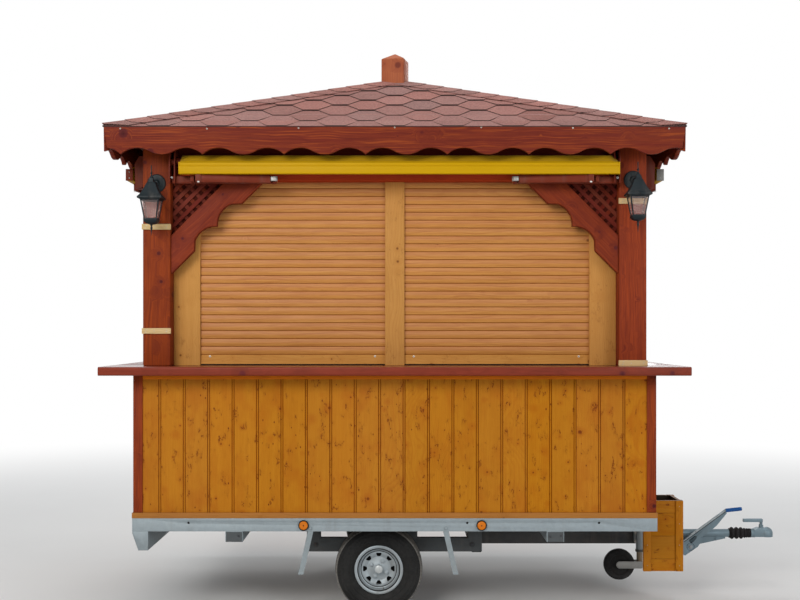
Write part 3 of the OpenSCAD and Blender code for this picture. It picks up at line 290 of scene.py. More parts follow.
def wood_group():
    """Growth rings, knots and fibres of a sawn board, from its own grain coordinates."""
    def build(g, i):
        grain = i["Grain"]
        x, y, z = g.split(grain)
        wx, wy, _ = g.split(g.noise(grain * (6.0, 6.0, 0.9), out=1))
        sx, sy, _ = g.split(g.noise(g.xyz(z=z), 1.7, 2.0, out=1))
        far, tag = g.cells(grain * (11.0, 3.0, 11.0), jitter=0.95)
        pick, girth, _ = g.split(tag)
        is_knot = g.math("LESS_THAN", pick, i["Knots"])
        big = g.line(g.math("POWER", girth, 2.0), 0.045, i["Knot Size"])
        ratio = far / big
        knot = is_knot * g.span(ratio + (wx - 0.5) * 0.9, 1.15, 0.8)
        heart = is_knot * g.span(ratio, 0.75, 0.2)
        halo = is_knot * g.span(ratio, 4.2, 0.8)
        push = halo * (big * 0.16)
        across = x + (wx - 0.5) * 0.030 + (sx - 0.5) * 0.07
        deep = y + 0.04 + (wy - 0.5) * 0.030 + (sy - 0.5) * 0.10
        ring = (g.length(g.xyz(across, deep)) + push) / i["Ring"]
        ring = ring + g.noise(g.xyz(ring), 0.7, 1.0) * 0.9
        saw = g.fract(ring)
        year = g.noise(g.xyz(g.math("FLOOR", ring)), 3.1, 1.0)
        late = g.span(saw, 0.35, 0.9) * g.span(saw, 1.0, 0.92)
        late = late * g.span(year, 0.3, 0.7, 0.35, 1.0)
        fibre = g.noise(grain * (420.0, 420.0, 9.0), rough=0.6)
        streak = g.noise(grain * (46.0, 20.0, 1.6), detail=4.0, rough=0.6)
        cloud = g.noise(grain * (9.0, 9.0, 5.0))
        bend = across - push * 2.5
        vein = g.noise(g.xyz(bend * 150.0, deep * 40.0, z * 2.4), rough=0.6)
        near, tag = g.cells(grain * (34.0, 9.0, 20.0))
        choice, small, _ = g.split(tag)
        dot = near / g.line(small, 0.05, 0.17)
        pins = g.math("LESS_THAN", choice, 0.42) * g.span(dot, 1.1, 0.5)
        swirl = g.noise(grain * (30.0, 30.0, 12.0), detail=4.0, rough=0.65)
        where = g.noise(grain * (24.0, 24.0, 14.0))
        curl = g.span(g.math("ABSOLUTE", swirl - 0.5), 0.034, 0.006) * g.span(where, 0.55, 0.66)
        mark = g.math("MAXIMUM", pins, curl)
        mark = g.math("MAXIMUM", mark, g.span(where, 0.50, 0.72, 0.0, 0.16))
        height = fibre * 0.35 - late * 0.4 - heart * 0.5
        return {"Late": late, "Fibre": fibre, "Streak": streak, "Knot": knot, "Heart": heart,
                "Halo": halo, "Cloud": cloud, "Vein": vein, "Mark": mark, "Height": height}
    return group("wood_grain", [("Grain", None), ("Ring", 0.0045), ("Knots", 0.3),
                                ("Knot Size", 0.2)],
                 ("Late", "Fibre", "Streak", "Knot", "Heart", "Halo", "Cloud", "Vein", "Mark",
                  "Height"), build)


def dirt_group():
    """Dust that settles low down and blotches of grime, from the object's own coordinates."""
    def build(g, i):
        p = g.here()
        _, _, z = g.split(p)
        blotch = g.noise(p, i["Scale"], 5.0, 0.62)
        fine = g.noise(p, i["Scale"] * 9.0, 4.0, 0.6)
        runs = g.noise(p * (14.0, 14.0, 1.1), detail=4.0, rough=0.6)
        low = g.span(z, 0.0, i["High"], 1.0, 0.0)
        dust = low * g.span(blotch + fine * 0.4, 0.45, 0.85)
        return {"Dust": dust, "Blotch": blotch, "Fine": fine, "Runs": runs}
    return group("dirt_masks", [("Scale", 4.0), ("High", 0.6)],
                 ("Dust", "Blotch", "Fine", "Runs"), build)


def dirt(g, scale, high=0.6):
    """The dust, blotches, fine speckle and runs of a finish."""
    return use(g, dirt_group(), {"Scale": scale, "High": high}).values()


def begin(name):
    """A new material with an empty tree: its graph and its shader node."""
    m = bpy.data.materials.new(name)
    m.use_nodes = True
    m.node_tree.nodes.clear()
    g = Graph(m.node_tree)
    shader = g.nodes.new("ShaderNodeBsdfPrincipled")
    out = g.nodes.new("ShaderNodeOutputMaterial")
    g.links.new(shader.outputs[0], out.inputs[0])
    MATS[name] = m
    return g, shader


def times(rgb, k):
    """A colour times one number or times three."""
    k = k if isinstance(k, tuple) else (k, k, k)
    return tuple(min(1.0, a * b) for a, b in zip(rgb, k))


def wood(name, rgb, base, dark, light, ring=0.0045, knots=0.3, knot_size=0.2, depth=0.0004,
         rough=(0.45, 0.65), knot_tone=(0.42, 0.34, 0.30), late_mix=0.4, streak_mix=0.4,
         cloud_mix=0.25, halo_mix=0.35, vein_mix=0.0, mark_mix=0.0, tint=0.3, gloss=0.08,
         painted_sky_reflection=None, wet_top=0.0, painted_shade_above=0.0):
    """Stained timber. base, dark and light are shares of the stain's colour."""
    base, dark, light = (times(rgb, k) for k in (base, dark, light))
    g, shader = begin(name)
    seed = g.attribute("tint")
    w = use(g, wood_group(), {"Grain": g.attribute("grain", "Vector"), "Ring": ring,
                              "Knots": knots, "Knot Size": knot_size})
    c = g.mix(g.span(w["Streak"], 0.35, 0.75) * streak_mix, base, light)
    c = g.mix(g.span(w["Cloud"], 0.42, 0.72) * cloud_mix, c, dark)
    c = g.mix(w["Late"] * late_mix, c, dark)
    if vein_mix:
        c = g.mix(g.span(w["Vein"], 0.52, 0.66) * vein_mix, c, light)
        c = g.mix(g.span(w["Vein"], 0.46, 0.34) * vein_mix, c, dark)
    c = g.mix(g.span(w["Fibre"], 0.45, 0.8) * 0.2, c, dark, "MULTIPLY")
    c = g.mix(w["Halo"] * halo_mix, c, dark)
    rim = times(base, knot_tone)
    if mark_mix:
        c = g.mix(w["Mark"] * mark_mix, c, rim)
    c = g.mix(w["Knot"] * 0.8, c, rim)
    c = g.mix(w["Heart"] * 0.6, c, times(rim, 0.45))
    _, _, z = g.split(g.here())
    # Upper part of each slat tinted cooler: painted reflection of the sky on the faces turned up
    if painted_sky_reflection:
        rise, pitch, start = painted_sky_reflection
        c = g.mix(g.span(g.fract((z - start) / pitch), 0.36, 0.72), c, rise, "MULTIPLY")
    # Darker above this height: painted shade under the fascia, behind the awning roll
    if painted_shade_above:
        c = g.mix(g.span(z, painted_shade_above, painted_shade_above + 0.04), c, (0.30, 0.24, 0.30), "MULTIPLY")
    shade = g.shift_tone(
        c, g.line(seed, 0.5 - 0.010 * tint, 0.5 + 0.010 * tint),
        g.line(g.fract(seed * 7.3), 1.0 - 0.10 * tint, 1.0 + 0.04 * tint),
        g.line(g.fract(seed * 3.7), 1.0 - 0.24 * tint, 1.0 + 0.20 * tint))
    _, blotch, _, _ = dirt(g, 2.2)
    c = g.mix(g.span(blotch, 0.45, 0.75) * 0.16, shade, (0.62, 0.55, 0.48), "MULTIPLY")
    g.fill(shader, {"Base Color": c, "Specular IOR Level": gloss,
                    "Roughness": g.span(w["Fibre"] - w["Late"] * 0.25, 0.1, 0.8, *rough),
                    "Normal": g.bump(w["Height"], depth)})
    if wet_top:
        _, _, up = g.split(g.add("NewGeometry", out="Normal"))
        g.fill(shader, {"Coat Weight": g.span(up, 0.5, 0.9) * wet_top, "Coat Roughness": 0.18})


def metal(name, base, metallic=0.0, rough=(0.35, 0.6), spangle=0.0, dust=0.5, dust_high=0.6,
          scale=5.0, chips=0.0, mottle=0.5, runs=0.35, gloss=0.5):
    """Painted, zinc coated or bare metal with spangle, grime runs and dust."""
    g, shader = begin(name)
    low, blotch, fine, streaks = dirt(g, scale, dust_high)
    c = g.mix(g.span(blotch, 0.3, 0.8, 0.0, mottle), base, times(base, 0.62))
    speckle = fine
    if spangle:
        flake, _, _ = g.split(g.cells(g.here(), 55.0)[1])
        c = g.mix(flake * spangle, c, times(base, 1.5))
        speckle = fine + flake * 0.2
    if chips:
        c = g.mix(g.span(fine, 0.66, 0.72) * chips, c, (0.16, 0.06, 0.025))
    if runs:
        c = g.mix(g.span(streaks, 0.5, 0.8) * runs, c, GRIME)
    c = g.mix(low * dust, c, DUST)
    g.fill(shader, {
        "Base Color": c, "Metallic": metallic, "Specular IOR Level": gloss,
        "Roughness": g.math("MAXIMUM", g.span(speckle, 0.2, 0.9, *rough), low * 0.8),
        "Normal": g.bump(fine + blotch, 0.0006, 0.6)})


def rubber(name, base, dust, high):
    """Rubber or soft plastic with dust in its low places and a fine mould texture."""
    g, shader = begin(name)
    low, blotch, fine, _ = dirt(g, 9.0, high)
    c = g.mix(g.span(blotch, 0.35, 0.75, 0.0, 0.6), base, times(base, 2.2))
    g.fill(shader, {
        "Base Color": g.mix(low * dust, c, (0.20, 0.185, 0.165)),
        "Roughness": g.span(fine, 0.2, 0.8, 0.62, 0.92), "Specular IOR Level": 0.25,
        "Normal": g.bump(g.noise(g.here(), 700.0, 2.0), 0.0003, 0.5)})


def shingles(name, base):
    """Mineral grit on felt: two sizes of granule, weather streaks and one tint per tab."""
    g, shader = begin(name)
    p = g.here()
    seed = g.attribute("tint")
    grit, hue = g.cells(p, 520.0)
    pick, other, _ = g.split(hue)
    blotch = g.noise(p, 3.0, 4.0, 0.6)
    mottle = g.noise(p, 26.0, rough=0.6)
    c = g.mix(g.span(pick, 0.1, 0.9, 0.0, 0.75), base, times(base, 1.55))
    c = g.mix(g.span(other, 0.72, 0.8, 0.0, 0.8), c, (0.075, 0.045, 0.042))
    c = g.mix(g.span(other, 0.12, 0.06, 0.0, 0.6), c, (0.50, 0.36, 0.31))
    c = g.mix(g.span(blotch, 0.35, 0.75, 0.0, 0.35), c, times(base, 0.7))
    c = g.mix(g.span(mottle, 0.5, 0.8, 0.0, 0.3), c, (0.36, 0.20, 0.16))
    shade = g.shift_tone(c, 0.5, g.line(seed, 0.92, 1.12), g.line(g.fract(seed * 5.1), 0.84, 1.14))
    g.fill(shader, {"Base Color": shade, "Roughness": 0.93, "Specular IOR Level": 0.25,
                    "Normal": g.bump(grit + mottle * 0.6, 0.0016, 0.7)})


def cloth(name, base):
    """Woven awning canvas: warp and weft threads, a sheen and faint dirt."""
    g, shader = begin(name)
    p = g.here()
    x, y, z = g.split(p)
    threads = 5200.0
    weave = (g.math("SINE", x * threads) + g.math("SINE", (y + z) * threads)) * 0.25
    c = g.mix(g.span(g.noise(p, 6.0, 4.0), 0.4, 0.8, 0.0, 0.25), base, times(base, 0.7))
    c = g.mix(g.span(weave, -0.5, 0.5, 0.0, 0.25), c, times(base, 1.3))
    g.fill(shader, {"Base Color": c, "Roughness": 0.85, "Specular IOR Level": 0.05,
                    "Sheen Weight": 0.05, "Normal": g.bump(weave, 0.0003, 0.6)})


def lens(name, base):
    """Ribbed amber or red plastic of a lamp."""
    g, shader = begin(name)
    p = g.here()
    x, _, _ = g.split(p)
    blotch = g.noise(p, 40.0)
    g.fill(shader, {
        "Base Color": g.mix(g.span(blotch, 0.4, 0.8, 0.0, 0.4), base, times(base, 0.6)),
        "Roughness": g.span(blotch, 0.3, 0.7, 0.14, 0.32), "Coat Weight": 0.15,
        "Specular IOR Level": 0.2, "Normal": g.bump(g.math("SINE", x * 1040.0), 0.0006, 0.4)})


def glass(name):
    """Clear pane with a faint milky film."""
    g, shader = begin(name)
    ripple = g.noise(g.here(), 60.0)
    g.fill(shader, {
        "Base Color": g.mix(g.span(ripple, 0.4, 0.7), (0.90, 0.83, 0.81), (0.96, 0.92, 0.91)),
        "Roughness": 0.03, "IOR": 1.15, "Transmission Weight": 0.94,
        "Normal": g.bump(ripple, 0.0001, 0.2)})


def make_materials():
    """Every finish on the stall."""
    c = colours()
    wood("honey_board", c.honey, 1.0, (0.84, 0.62, 0.5), (1.14, 1.26, 1.7), knots=0.75,
         knot_size=0.13, late_mix=0.42, knot_tone=(0.34, 0.16, 0.22), cloud_mix=0.5, halo_mix=0.6,
         mark_mix=1.0, tint=0.15)
    # A more saturated copy of the honey stain for the trim under the counter: painted shade of the
    # counter
    wood("counter_shade_trim", c.honey, (1.38, 0.96, 0.36), (0.84, 0.5, 0.3), (1.2, 0.95, 0.6),
         ring=0.006, knots=0.5, tint=0.2)
    wood("skirting_board", c.honey, (0.84, 0.92, 5.0), (0.62, 0.6, 1.6), (0.95, 1.1, 3.2),
         ring=0.006, knots=0.2, tint=0.2)
    # Dark finish in the grooves and joints of the wall boards: painted shade
    wood("groove_stain", c.honey, (0.40, 0.19, 0.1), (0.27, 0.11, 0.1), (0.52, 0.29, 0.1),
         knots=0.0, gloss=0.03)
    # Near black for the inside faces of the drawbar box: painted shade
    wood("box_lining", WHITE, (0.034, 0.026, 0.018), (0.018, 0.013, 0.009), (0.055, 0.042, 0.030),
         ring=0.006, knots=0.2, gloss=0.03)
    wood("worn_edge", WHITE, (0.33, 0.22, 0.15), (0.22, 0.13, 0.08), (0.42, 0.30, 0.22),
         ring=0.006, knots=0.2, gloss=0.05)
    # Near black board behind the lattice: painted shade
    wood("lattice_back", c.red, (0.28, 0.26, 0.5), (0.18, 0.18, 0.4), (0.36, 0.32, 0.5),
         knots=0.0, gloss=0.02)
    wood("pale_board", c.pale_honey, 1.0, (0.80, 0.68, 0.56), (1.12, 1.2, 1.35), ring=0.007,
         knots=0.45, knot_size=0.2, knot_tone=(0.42, 0.30, 0.3), late_mix=0.35, mark_mix=0.4,
         tint=0.2)
    wood("red_timber", c.red, (1.03, 1.0, 0.92), (0.50, 0.40, 0.9), (1.62, 1.6, 1.1), ring=0.008,
         knots=0.42, knot_size=0.3, knot_tone=(0.34, 0.34, 1.3), late_mix=0.35, streak_mix=0.45,
         cloud_mix=0.3, vein_mix=0.45, tint=0.25)
    # A darker copy of the red stain for the braces: painted shade under the roof
    wood("brace_shaded_timber", c.red, (0.86, 0.80, 0.9), (0.46, 0.36, 0.8), (1.4, 1.45, 1.1),
         ring=0.009, knots=0.5, knot_size=0.34, knot_tone=(0.36, 0.36, 1.5), late_mix=0.3,
         cloud_mix=0.35, vein_mix=0.4, tint=0.25)
    wood("fascia_timber", c.red, (0.74, 0.58, 1.0), (0.50, 0.38, 0.8), (1.8, 2.2, 1.2),
         ring=0.014, knots=0.28, knot_size=0.34, knot_tone=(0.46, 0.44, 1.1), late_mix=0.3,
         streak_mix=0.24, cloud_mix=0.3, halo_mix=0.15, vein_mix=0.48, mark_mix=0.15, tint=0.08)
    wood("counter_timber", c.dark_red, 1.0, 0.6, 1.45, ring=0.008, knots=0.3, knot_size=0.3,
         knot_tone=(0.5, 0.4, 1.3), vein_mix=0.25, tint=0.2, rough=(0.35, 0.5), gloss=0.12,
         wet_top=0.7)
    # The header is darker above the awning roll: painted shade
    wood("header_timber", c.dark_red, (1.8, 1.35, 0.5), (1.0, 0.5, 0.3), (2.1, 1.4, 0.6),
         ring=0.008, knots=0.2, tint=0.2, painted_shade_above=sizes().header_z + 0.085)
    wood("lattice_timber", c.red, (0.72, 0.56, 0.85), (0.5, 0.36, 0.6), (1.0, 0.95, 1.0),
         knots=0.1, tint=0.4)
    sill = sizes().counter_top + 0.062
    # The slats' upper halves are tinted cooler: painted reflection of the sky
    wood("slat_print", c.slat, 1.0, (0.78, 0.66, 0.75), (1.16, 1.26, 1.5), ring=0.014, knots=0.06,
         knot_size=0.12, depth=0.00015, late_mix=0.35, streak_mix=0.7, vein_mix=0.5, tint=0.10,
         rough=(0.42, 0.55), gloss=0.2, painted_sky_reflection=((0.98, 0.95, 1.36), sizes().slat_h, sill))
    # Darker finish on the slats' hinges: painted shade in the creases between slats
    wood("slat_hinge", c.slat, (0.66, 0.52, 0.44), (0.5, 0.38, 0.3), (0.74, 0.6, 0.5), knots=0.0,
         gloss=0.05)
    wood("finial_timber", c.red, (1.74, 3.1, 4.6), (1.05, 1.25, 2.2), (2.3, 4.3, 5.8), ring=0.010,
         knots=0.5, knot_size=0.3, late_mix=0.35, knot_tone=(0.35, 0.25, 0.4), tint=0.1)
    wood("raw_pine", c.raw, 1.0, (0.80, 0.70, 0.58), 1.12, ring=0.005, knots=0.15, late_mix=0.5,
         tint=0.3, rough=(0.6, 0.8))
    wood("plywood", WHITE, (0.16, 0.095, 0.05), (0.08, 0.045, 0.025), (0.22, 0.14, 0.08),
         ring=0.02, knots=0.1, tint=0.3, rough=(0.6, 0.85))
    shingles("shingle_grit", c.shingle)
    rubber("felt_edge", (0.035, 0.020, 0.018), 0.0, 0.2)
    metal("zinc", c.zinc, 0.4, (0.45, 0.65), spangle=0.2, dust=0.2, dust_high=0.6, mottle=0.25,
          runs=0.2)
    metal("bolt_zinc", (0.46, 0.45, 0.42), 0.8, (0.28, 0.5), dust=0.3)
    metal("screw_zinc", (0.62, 0.57, 0.48), 0.3, (0.35, 0.5), dust=0.0)
    metal("beam_paint", (0.052, 0.060, 0.064), 0.1, (0.5, 0.8), dust=0.1, chips=0.05)
    metal("soot_paint", c.soot, 0.1, (0.5, 0.8), dust=0.22, dust_high=0.6, chips=0.12)
    metal("wheel_paint", (0.31, 0.355, 0.38), 0.3, (0.42, 0.6), dust=0.18, dust_high=0.62,
          scale=12.0, runs=0.4)
    metal("coupling_paint", times(c.plate, (0.60, 0.63, 0.64)), 0.3, (0.4, 0.62), dust=0.05,
          dust_high=0.8, gloss=0.3)
    metal("grease_steel", (0.20, 0.13, 0.06), 0.5, (0.35, 0.65), dust=0.5, chips=0.6)
    metal("awning_brown", times(c.brown, (0.95, 0.85, 0.8)), 0.0, (0.4, 0.55), dust=0.0,
          gloss=0.08)
    metal("awning_yellow", c.yellow, 0.0, (0.42, 0.5), dust=0.0, scale=1.5, mottle=0.12, runs=0.0,
          gloss=0.08)
    metal("lantern_black", (0.007, 0.013, 0.016), 0.0, (0.42, 0.62), dust=0.0, scale=14.0,
          gloss=0.22)
    metal("cast_silver", (0.36, 0.36, 0.345), 0.6, (0.35, 0.55), dust=0.0)
    metal("wheel_cap", (0.50, 0.53, 0.53), 0.2, (0.3, 0.5), dust=0.1, scale=20.0)
    metal("awning_cap", (0.16, 0.155, 0.14), 0.2, (0.4, 0.6), dust=0.0)
    metal("clip_white", (0.74, 0.73, 0.70), 0.0, (0.4, 0.6), dust=0.0, mottle=0.1)
    rubber("tyre_rubber", (0.007, 0.007, 0.0068), 0.05, 0.45)
    # Lighter rubber for the tread: partly dust, partly painted light caught from the ground
    rubber("tread_rubber", (0.060, 0.060, 0.056), 0.85, 1.2)
    rubber("bellows_rubber", (0.008, 0.007, 0.008), 0.0, 0.3)
    rubber("jockey_rubber", (0.010, 0.010, 0.011), 0.15, 0.3)
    rubber("blue_grip", (0.008, 0.066, 0.230), 0.0, 0.2)
    # Black rubber of lamp rims and the valve, also laid on as painted shade in slots, holes and
    # creases
    rubber("dark_gap", (0.006, 0.005, 0.005), 0.0, 0.2)
    cloth("awning_canvas", c.yellow)
    lens("amber_lens", (0.60, 0.155, 0.0015))
    lens("red_lens", (0.45, 0.01, 0.008))
    glass("pane")


# Mesh kit

def cross_grain(along):
    """Two directions across the grain."""
    up = Vector((0, 0, 1)) if abs(along.z) < 0.8 else Vector((1, 0, 0))
    first = (up - along * up.dot(along)).normalized()
    return first, along.cross(first)


class Kit:
    """Collects solids into one mesh. Each solid has its own grain frame and tint."""

    def __init__(self, seed):
        self.verts = []
        self.faces = []
        self.mats = []
        self.grain = []
        self.tint = []
        self.names = []
        self.turn = Matrix.Identity(4)
        self.random = random.Random(seed)

    def add(self, verts, faces, mat, along=None, tint=None):
        """Adds one solid. along is the direction of its grain."""
        verts = [Vector(v) for v in verts]
        if self.turn.to_3x3().determinant() < 0:
            faces = [f[::-1] for f in faces]
        mats = [mat] * len(faces) if isinstance(mat, str) else mat
        base = len(self.verts)
        along = Vector(along or (0, 0, 1)).normalized()
        first, second = cross_grain(along)
        shift = Vector([self.random.uniform(-40, 40) for _ in range(3)])
        centre = sum(verts, Vector()) / len(verts)
        tint = self.random.random() if tint is None else tint
        for v in verts:
            d = v - centre
            self.verts.append(self.turn @ v)
            self.grain.append(Vector((d.dot(first), d.dot(second), d.dot(along))) + shift)
            self.tint.append(tint)
        for f, mat in zip(faces, mats):
            if mat not in self.names:
                self.names.append(mat)
            self.faces.append([base + k for k in f])
            self.mats.append(self.names.index(mat))

    def box(self, low, high, mat, along=None):
        """A box between two corners, with its grain along its longest side if none is given."""
        (a, b, c), (d, e, f) = low, high
        verts = [(a, b, c), (d, b, c), (d, e, c), (a, e, c),
                 (a, b, f), (d, b, f), (d, e, f), (a, e, f)]
        if along is None:
            long_side = max(range(3), key=lambda k: high[k] - low[k])
            along = [float(k == long_side) for k in range(3)]
        self.add(verts, BOX_FACES, mat, along)

    def prism(self, outline, depth, axes, mat, along=None, tint=None, rim=None):
        """A flat outline in the XY plane of its axes, extruded along Z."""
        if signed_area(outline) < 0:
            outline = outline[::-1]
        n = len(outline)
        verts = [axes @ Vector((x, y, 0)) for x, y in outline]
        verts += [axes @ Vector((x, y, depth)) for x, y in outline]
        flip = axes.to_3x3().determinant() < 0 or depth < 0
        faces = [tuple(range(n))[::-1], tuple(range(n, 2 * n))]
        faces += [(i, (i + 1) % n, n + (i + 1) % n, n + i) for i in range(n)]
        if flip:
            faces = [f[::-1] for f in faces]
        along = axes.to_3x3() @ Vector(along or (1, 0, 0))
        self.add(verts, faces, [mat] * 2 + [rim or mat] * n, along, tint)

    def lathe(self, profile, axes, mat, steps=32, along=None, closed=False):
        """A profile of (radius, height) turned about the Z of its axes."""
        verts, faces, rings = [], [], []
        for r, z in profile:
            if r == 0.0:
                rings.append([len(verts)])
                verts.append(axes @ Vector((0, 0, z)))
            else:
                rings.append(list(range(len(verts), len(verts) + steps)))
                for k in range(steps):
                    t = 2 * math.pi * k / steps
                    verts.append(axes @ Vector((r * math.cos(t), r * math.sin(t), z)))
        for a, b in zip(rings, rings[1:] + rings[:1] * closed):
            for k in range(steps):
                j = (k + 1) % steps
                if len(a) == 1:
                    faces.append((a[0], b[j], b[k]))
                elif len(b) == 1:
                    faces.append((a[k], a[j], b[0]))
                else:
                    faces.append((a[k], a[j], b[j], b[k]))
        if not closed:
            faces += [ends for ends in (rings[0][::-1], rings[-1]) if len(ends) > 1]
        if axes.to_3x3().determinant() < 0:
            faces = [f[::-1] for f in faces]
        self.add(verts, faces, mat, along or axes.to_3x3() @ Vector((0, 0, 1)))

    def tube(self, points, r, mat, steps=10):
        """A round bar along a line of points."""
        points = [Vector(p) for p in points]
        verts, faces = [], []
        up = Vector((0, 0, 1))
        last = None
        for i, p in enumerate(points):
            d = (points[min(i + 1, len(points) - 1)] - points[max(i - 1, 0)]).normalized()
            if last is None:
                last = d.cross(up)
                last = Vector((1, 0, 0)) if last.length < 1e-4 else last.normalized()
            a = (last - d * last.dot(d)).normalized()
            b = d.cross(a)
            last = a
            for k in range(steps):
                t = 2 * math.pi * k / steps
                verts.append(p + a * (r * math.cos(t)) + b * (r * math.sin(t)))
        for i in range(len(points) - 1):
            for k in range(steps):
                j = (k + 1) % steps
                faces.append((i * steps + k, i * steps + j, (i + 1) * steps + j,
                              (i + 1) * steps + k))
        faces.append(tuple(range(steps))[::-1])
        faces.append(tuple(range(len(verts) - steps, len(verts))))
        self.add(verts, faces, mat, points[-1] - points[0])

    def build(self, name, bevel=0.0, segments=2, smooth=35.0):
        """The mesh object of all that was collected."""
        mesh = bpy.data.meshes.new(name)
        mesh.from_pydata(self.verts, [], self.faces)
        for n in self.names:
            mesh.materials.append(MATS[n])
        mesh.polygons.foreach_set("material_index", self.mats)
        set_grain(mesh, self.grain, self.tint)
        mesh.validate()
        return round_edges(shown(name, mesh), bevel, segments, smooth)


def set_grain(mesh, grain, tint):
    """Writes the grain coordinates and the tint of every vertex."""
    places = mesh.attributes.new("grain", "FLOAT_VECTOR", "POINT")
    places.data.foreach_set("vector", [k for v in grain for k in v])
    tints = mesh.attributes.new("tint", "FLOAT", "POINT")
    tints.data.foreach_set("value", tint)


def shown(name, data):
    """A new object in the scene."""
    obj = bpy.data.objects.new(name, data)
    bpy.context.scene.collection.objects.link(obj)
    return obj


def face_outward(obj):
    """Turns all faces of a mesh outward."""
    bm = bmesh.new()
    bm.from_mesh(obj.data)
    bmesh.ops.recalc_face_normals(bm, faces=bm.faces)
    bm.to_mesh(obj.data)
    bm.free()


def round_edges(obj, bevel, segments, smooth):
    """Applies a bevel to edges sharper than 32 degrees and sets smooth shading."""
    if bevel:
        m = obj.modifiers.new("edges", "BEVEL")
        m.width = bevel
        m.segments = segments
        m.limit_method = "ANGLE"
        m.angle_limit = math.radians(32.0)
        m.use_clamp_overlap = True
        m.loop_slide = True
        bake(obj)
    obj.data.shade_smooth()
    obj.data.set_sharp_from_angle(angle=math.radians(smooth))
    return obj


def bake(obj):
    """Replaces an object's mesh by its evaluated mesh, without modifiers."""
    bpy.context.view_layer.update()
    deps = bpy.context.evaluated_depsgraph_get()
    mesh = bpy.data.meshes.new_from_object(obj.evaluated_get(deps), depsgraph=deps)
    obj.modifiers.clear()
    obj.data = mesh


def islands(mesh):
    """Lists of vertex indices that hang together."""
    parent = list(range(len(mesh.vertices)))

    def root(i):
        while parent[i] != i:
            parent[i] = parent[parent[i]]
            i = parent[i]
        return i

    for e in mesh.edges:
        a, b = root(e.vertices[0]), root(e.vertices[1])
        if a != b:
            parent[a] = b
    found = {}
    for i in range(len(parent)):
        found.setdefault(root(i), []).append(i)
    return list(found.values())


def main_axis(points):
    """Direction in which a cloud of points is longest, by power iteration."""
    centre = sum(points, Vector()) / len(points)
    cov = [[0.0] * 3 for _ in range(3)]
    for p in points:
        d = p - centre
        for i in range(3):
            for j in range(3):
                cov[i][j] += d[i] * d[j]
    m, rounds = Matrix(cov), 60
    # A start that lies along no axis
    v = Vector((0.61, 0.53, 0.47))
    for _ in range(rounds):
        v = m @ v
        if v.length < 1e-12:
            return Vector((0, 0, 1)), centre
        v.normalize()
    return v, centre


def add_grain(mesh, seed, along):
    """Gives each solid of a mesh its own grain frame and tint."""
    rng = random.Random(seed)
    grain = [None] * len(mesh.vertices)
    tint = [0.0] * len(mesh.vertices)
    for members in islands(mesh):
        pts = [mesh.vertices[i].co for i in members]
        axis, centre = main_axis(pts)
        if along:
            axis = Vector(along)
        first, second = cross_grain(axis)
        shift = Vector(rng.uniform(-40, 40) for _ in range(3))
        t = rng.random()
        for i in members:
            d = mesh.vertices[i].co - centre
            grain[i] = Vector((d.dot(first), d.dot(second), d.dot(axis))) + shift
            tint[i] = t
    set_grain(mesh, grain, tint)


def body_of(node):
    """The body that carries a node."""
    for name, members in frame["record"]["behaviour"]["bodies"].items():
        if node in members:
            return name
    raise ValueError(f"no body holds {node}")


def slot_of(node):
    """The material slot of a node."""
    for row in frame["record"]["subparts"]:
        if row["node"] == node:
            return row["material_slot"]
    raise ValueError(f"no slot for {node}")


def place(obj, like, *nodes):
    """Rides a piece on a node's body, with its slot, and names the nodes it stands for."""
    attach(obj, body_of(like))
    slot_of(like)
    if nodes:
        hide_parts(*nodes)


def soften(node, mat, bevel, segments=2, seed=1, along=None, smooth=35.0):
    """A copy of a solid with rounded edges and grain, which stands for its node."""
    mesh = frame["nodes"][node].data.copy()
    mesh.materials.clear()
    mesh.materials.append(MATS[mat])
    bm = bmesh.new()
    bm.from_mesh(mesh)
    bmesh.ops.remove_doubles(bm, verts=bm.verts, dist=1e-5)
    bmesh.ops.dissolve_limit(bm, angle_limit=math.radians(0.6), verts=bm.verts,
                             edges=bm.edges, use_dissolve_boundaries=False)
    bm.to_mesh(mesh)
    bm.free()
    mesh.polygons.foreach_set("material_index", [0] * len(mesh.polygons))
    if "sharp_face" in mesh.attributes:
        mesh.attributes.remove(mesh.attributes["sharp_face"])
    add_grain(mesh, seed, along)
    obj = round_edges(shown(node + "_look", mesh), bevel, segments, smooth)
    place(obj, node, node)
    return obj


def soften_all(rows):
    """Softened copies of several nodes: name, finish, bevel, its segments and the seed."""
    for node, mat, bevel, segments, seed in rows:
        soften(node, mat, bevel, segments, seed)


def frame_at(origin, x, y, z):
    """A matrix from an origin and its three axes."""
    m = Matrix((x, y, z)).transposed().to_4x4()
    m.translation = origin
    return m


def along_x(x, y=0.0, z=0.0):
    """Axes for outlines that lie in the side view and are drawn out along X."""
    return frame_at((x, y, z), (0, 1, 0), (0, 0, 1), (1, 0, 0))


def facing(origin, out=-1):
    """Axes for outlines in the front view, which face the near side or the far one."""
    return frame_at(origin, (1, 0, 0), (0, 0, -out), (0, out, 0))


def facing_along(origin, out):
    """Axes for a round head that faces in any direction."""
    out = Vector(out).normalized()
    x = out.orthogonal().normalized()
    return frame_at(origin, x, out.cross(x), out)


def four_sides():
    """The stall's sides by name, each with the matrix that turns the near side to it."""
    quarter = Matrix.Rotation(math.radians(90), 4, "Z")
    return {"front": Matrix.Identity(4), "back": Matrix.Diagonal((1, -1, 1, 1)),
            "nose": quarter, "tail": Matrix.Diagonal((-1, 1, 1, 1)) @ quarter}


def both_long_sides():
    """The near side as it is, and mirrored to the far side."""
    return Matrix.Identity(4), Matrix.Diagonal((1, -1, 1, 1))


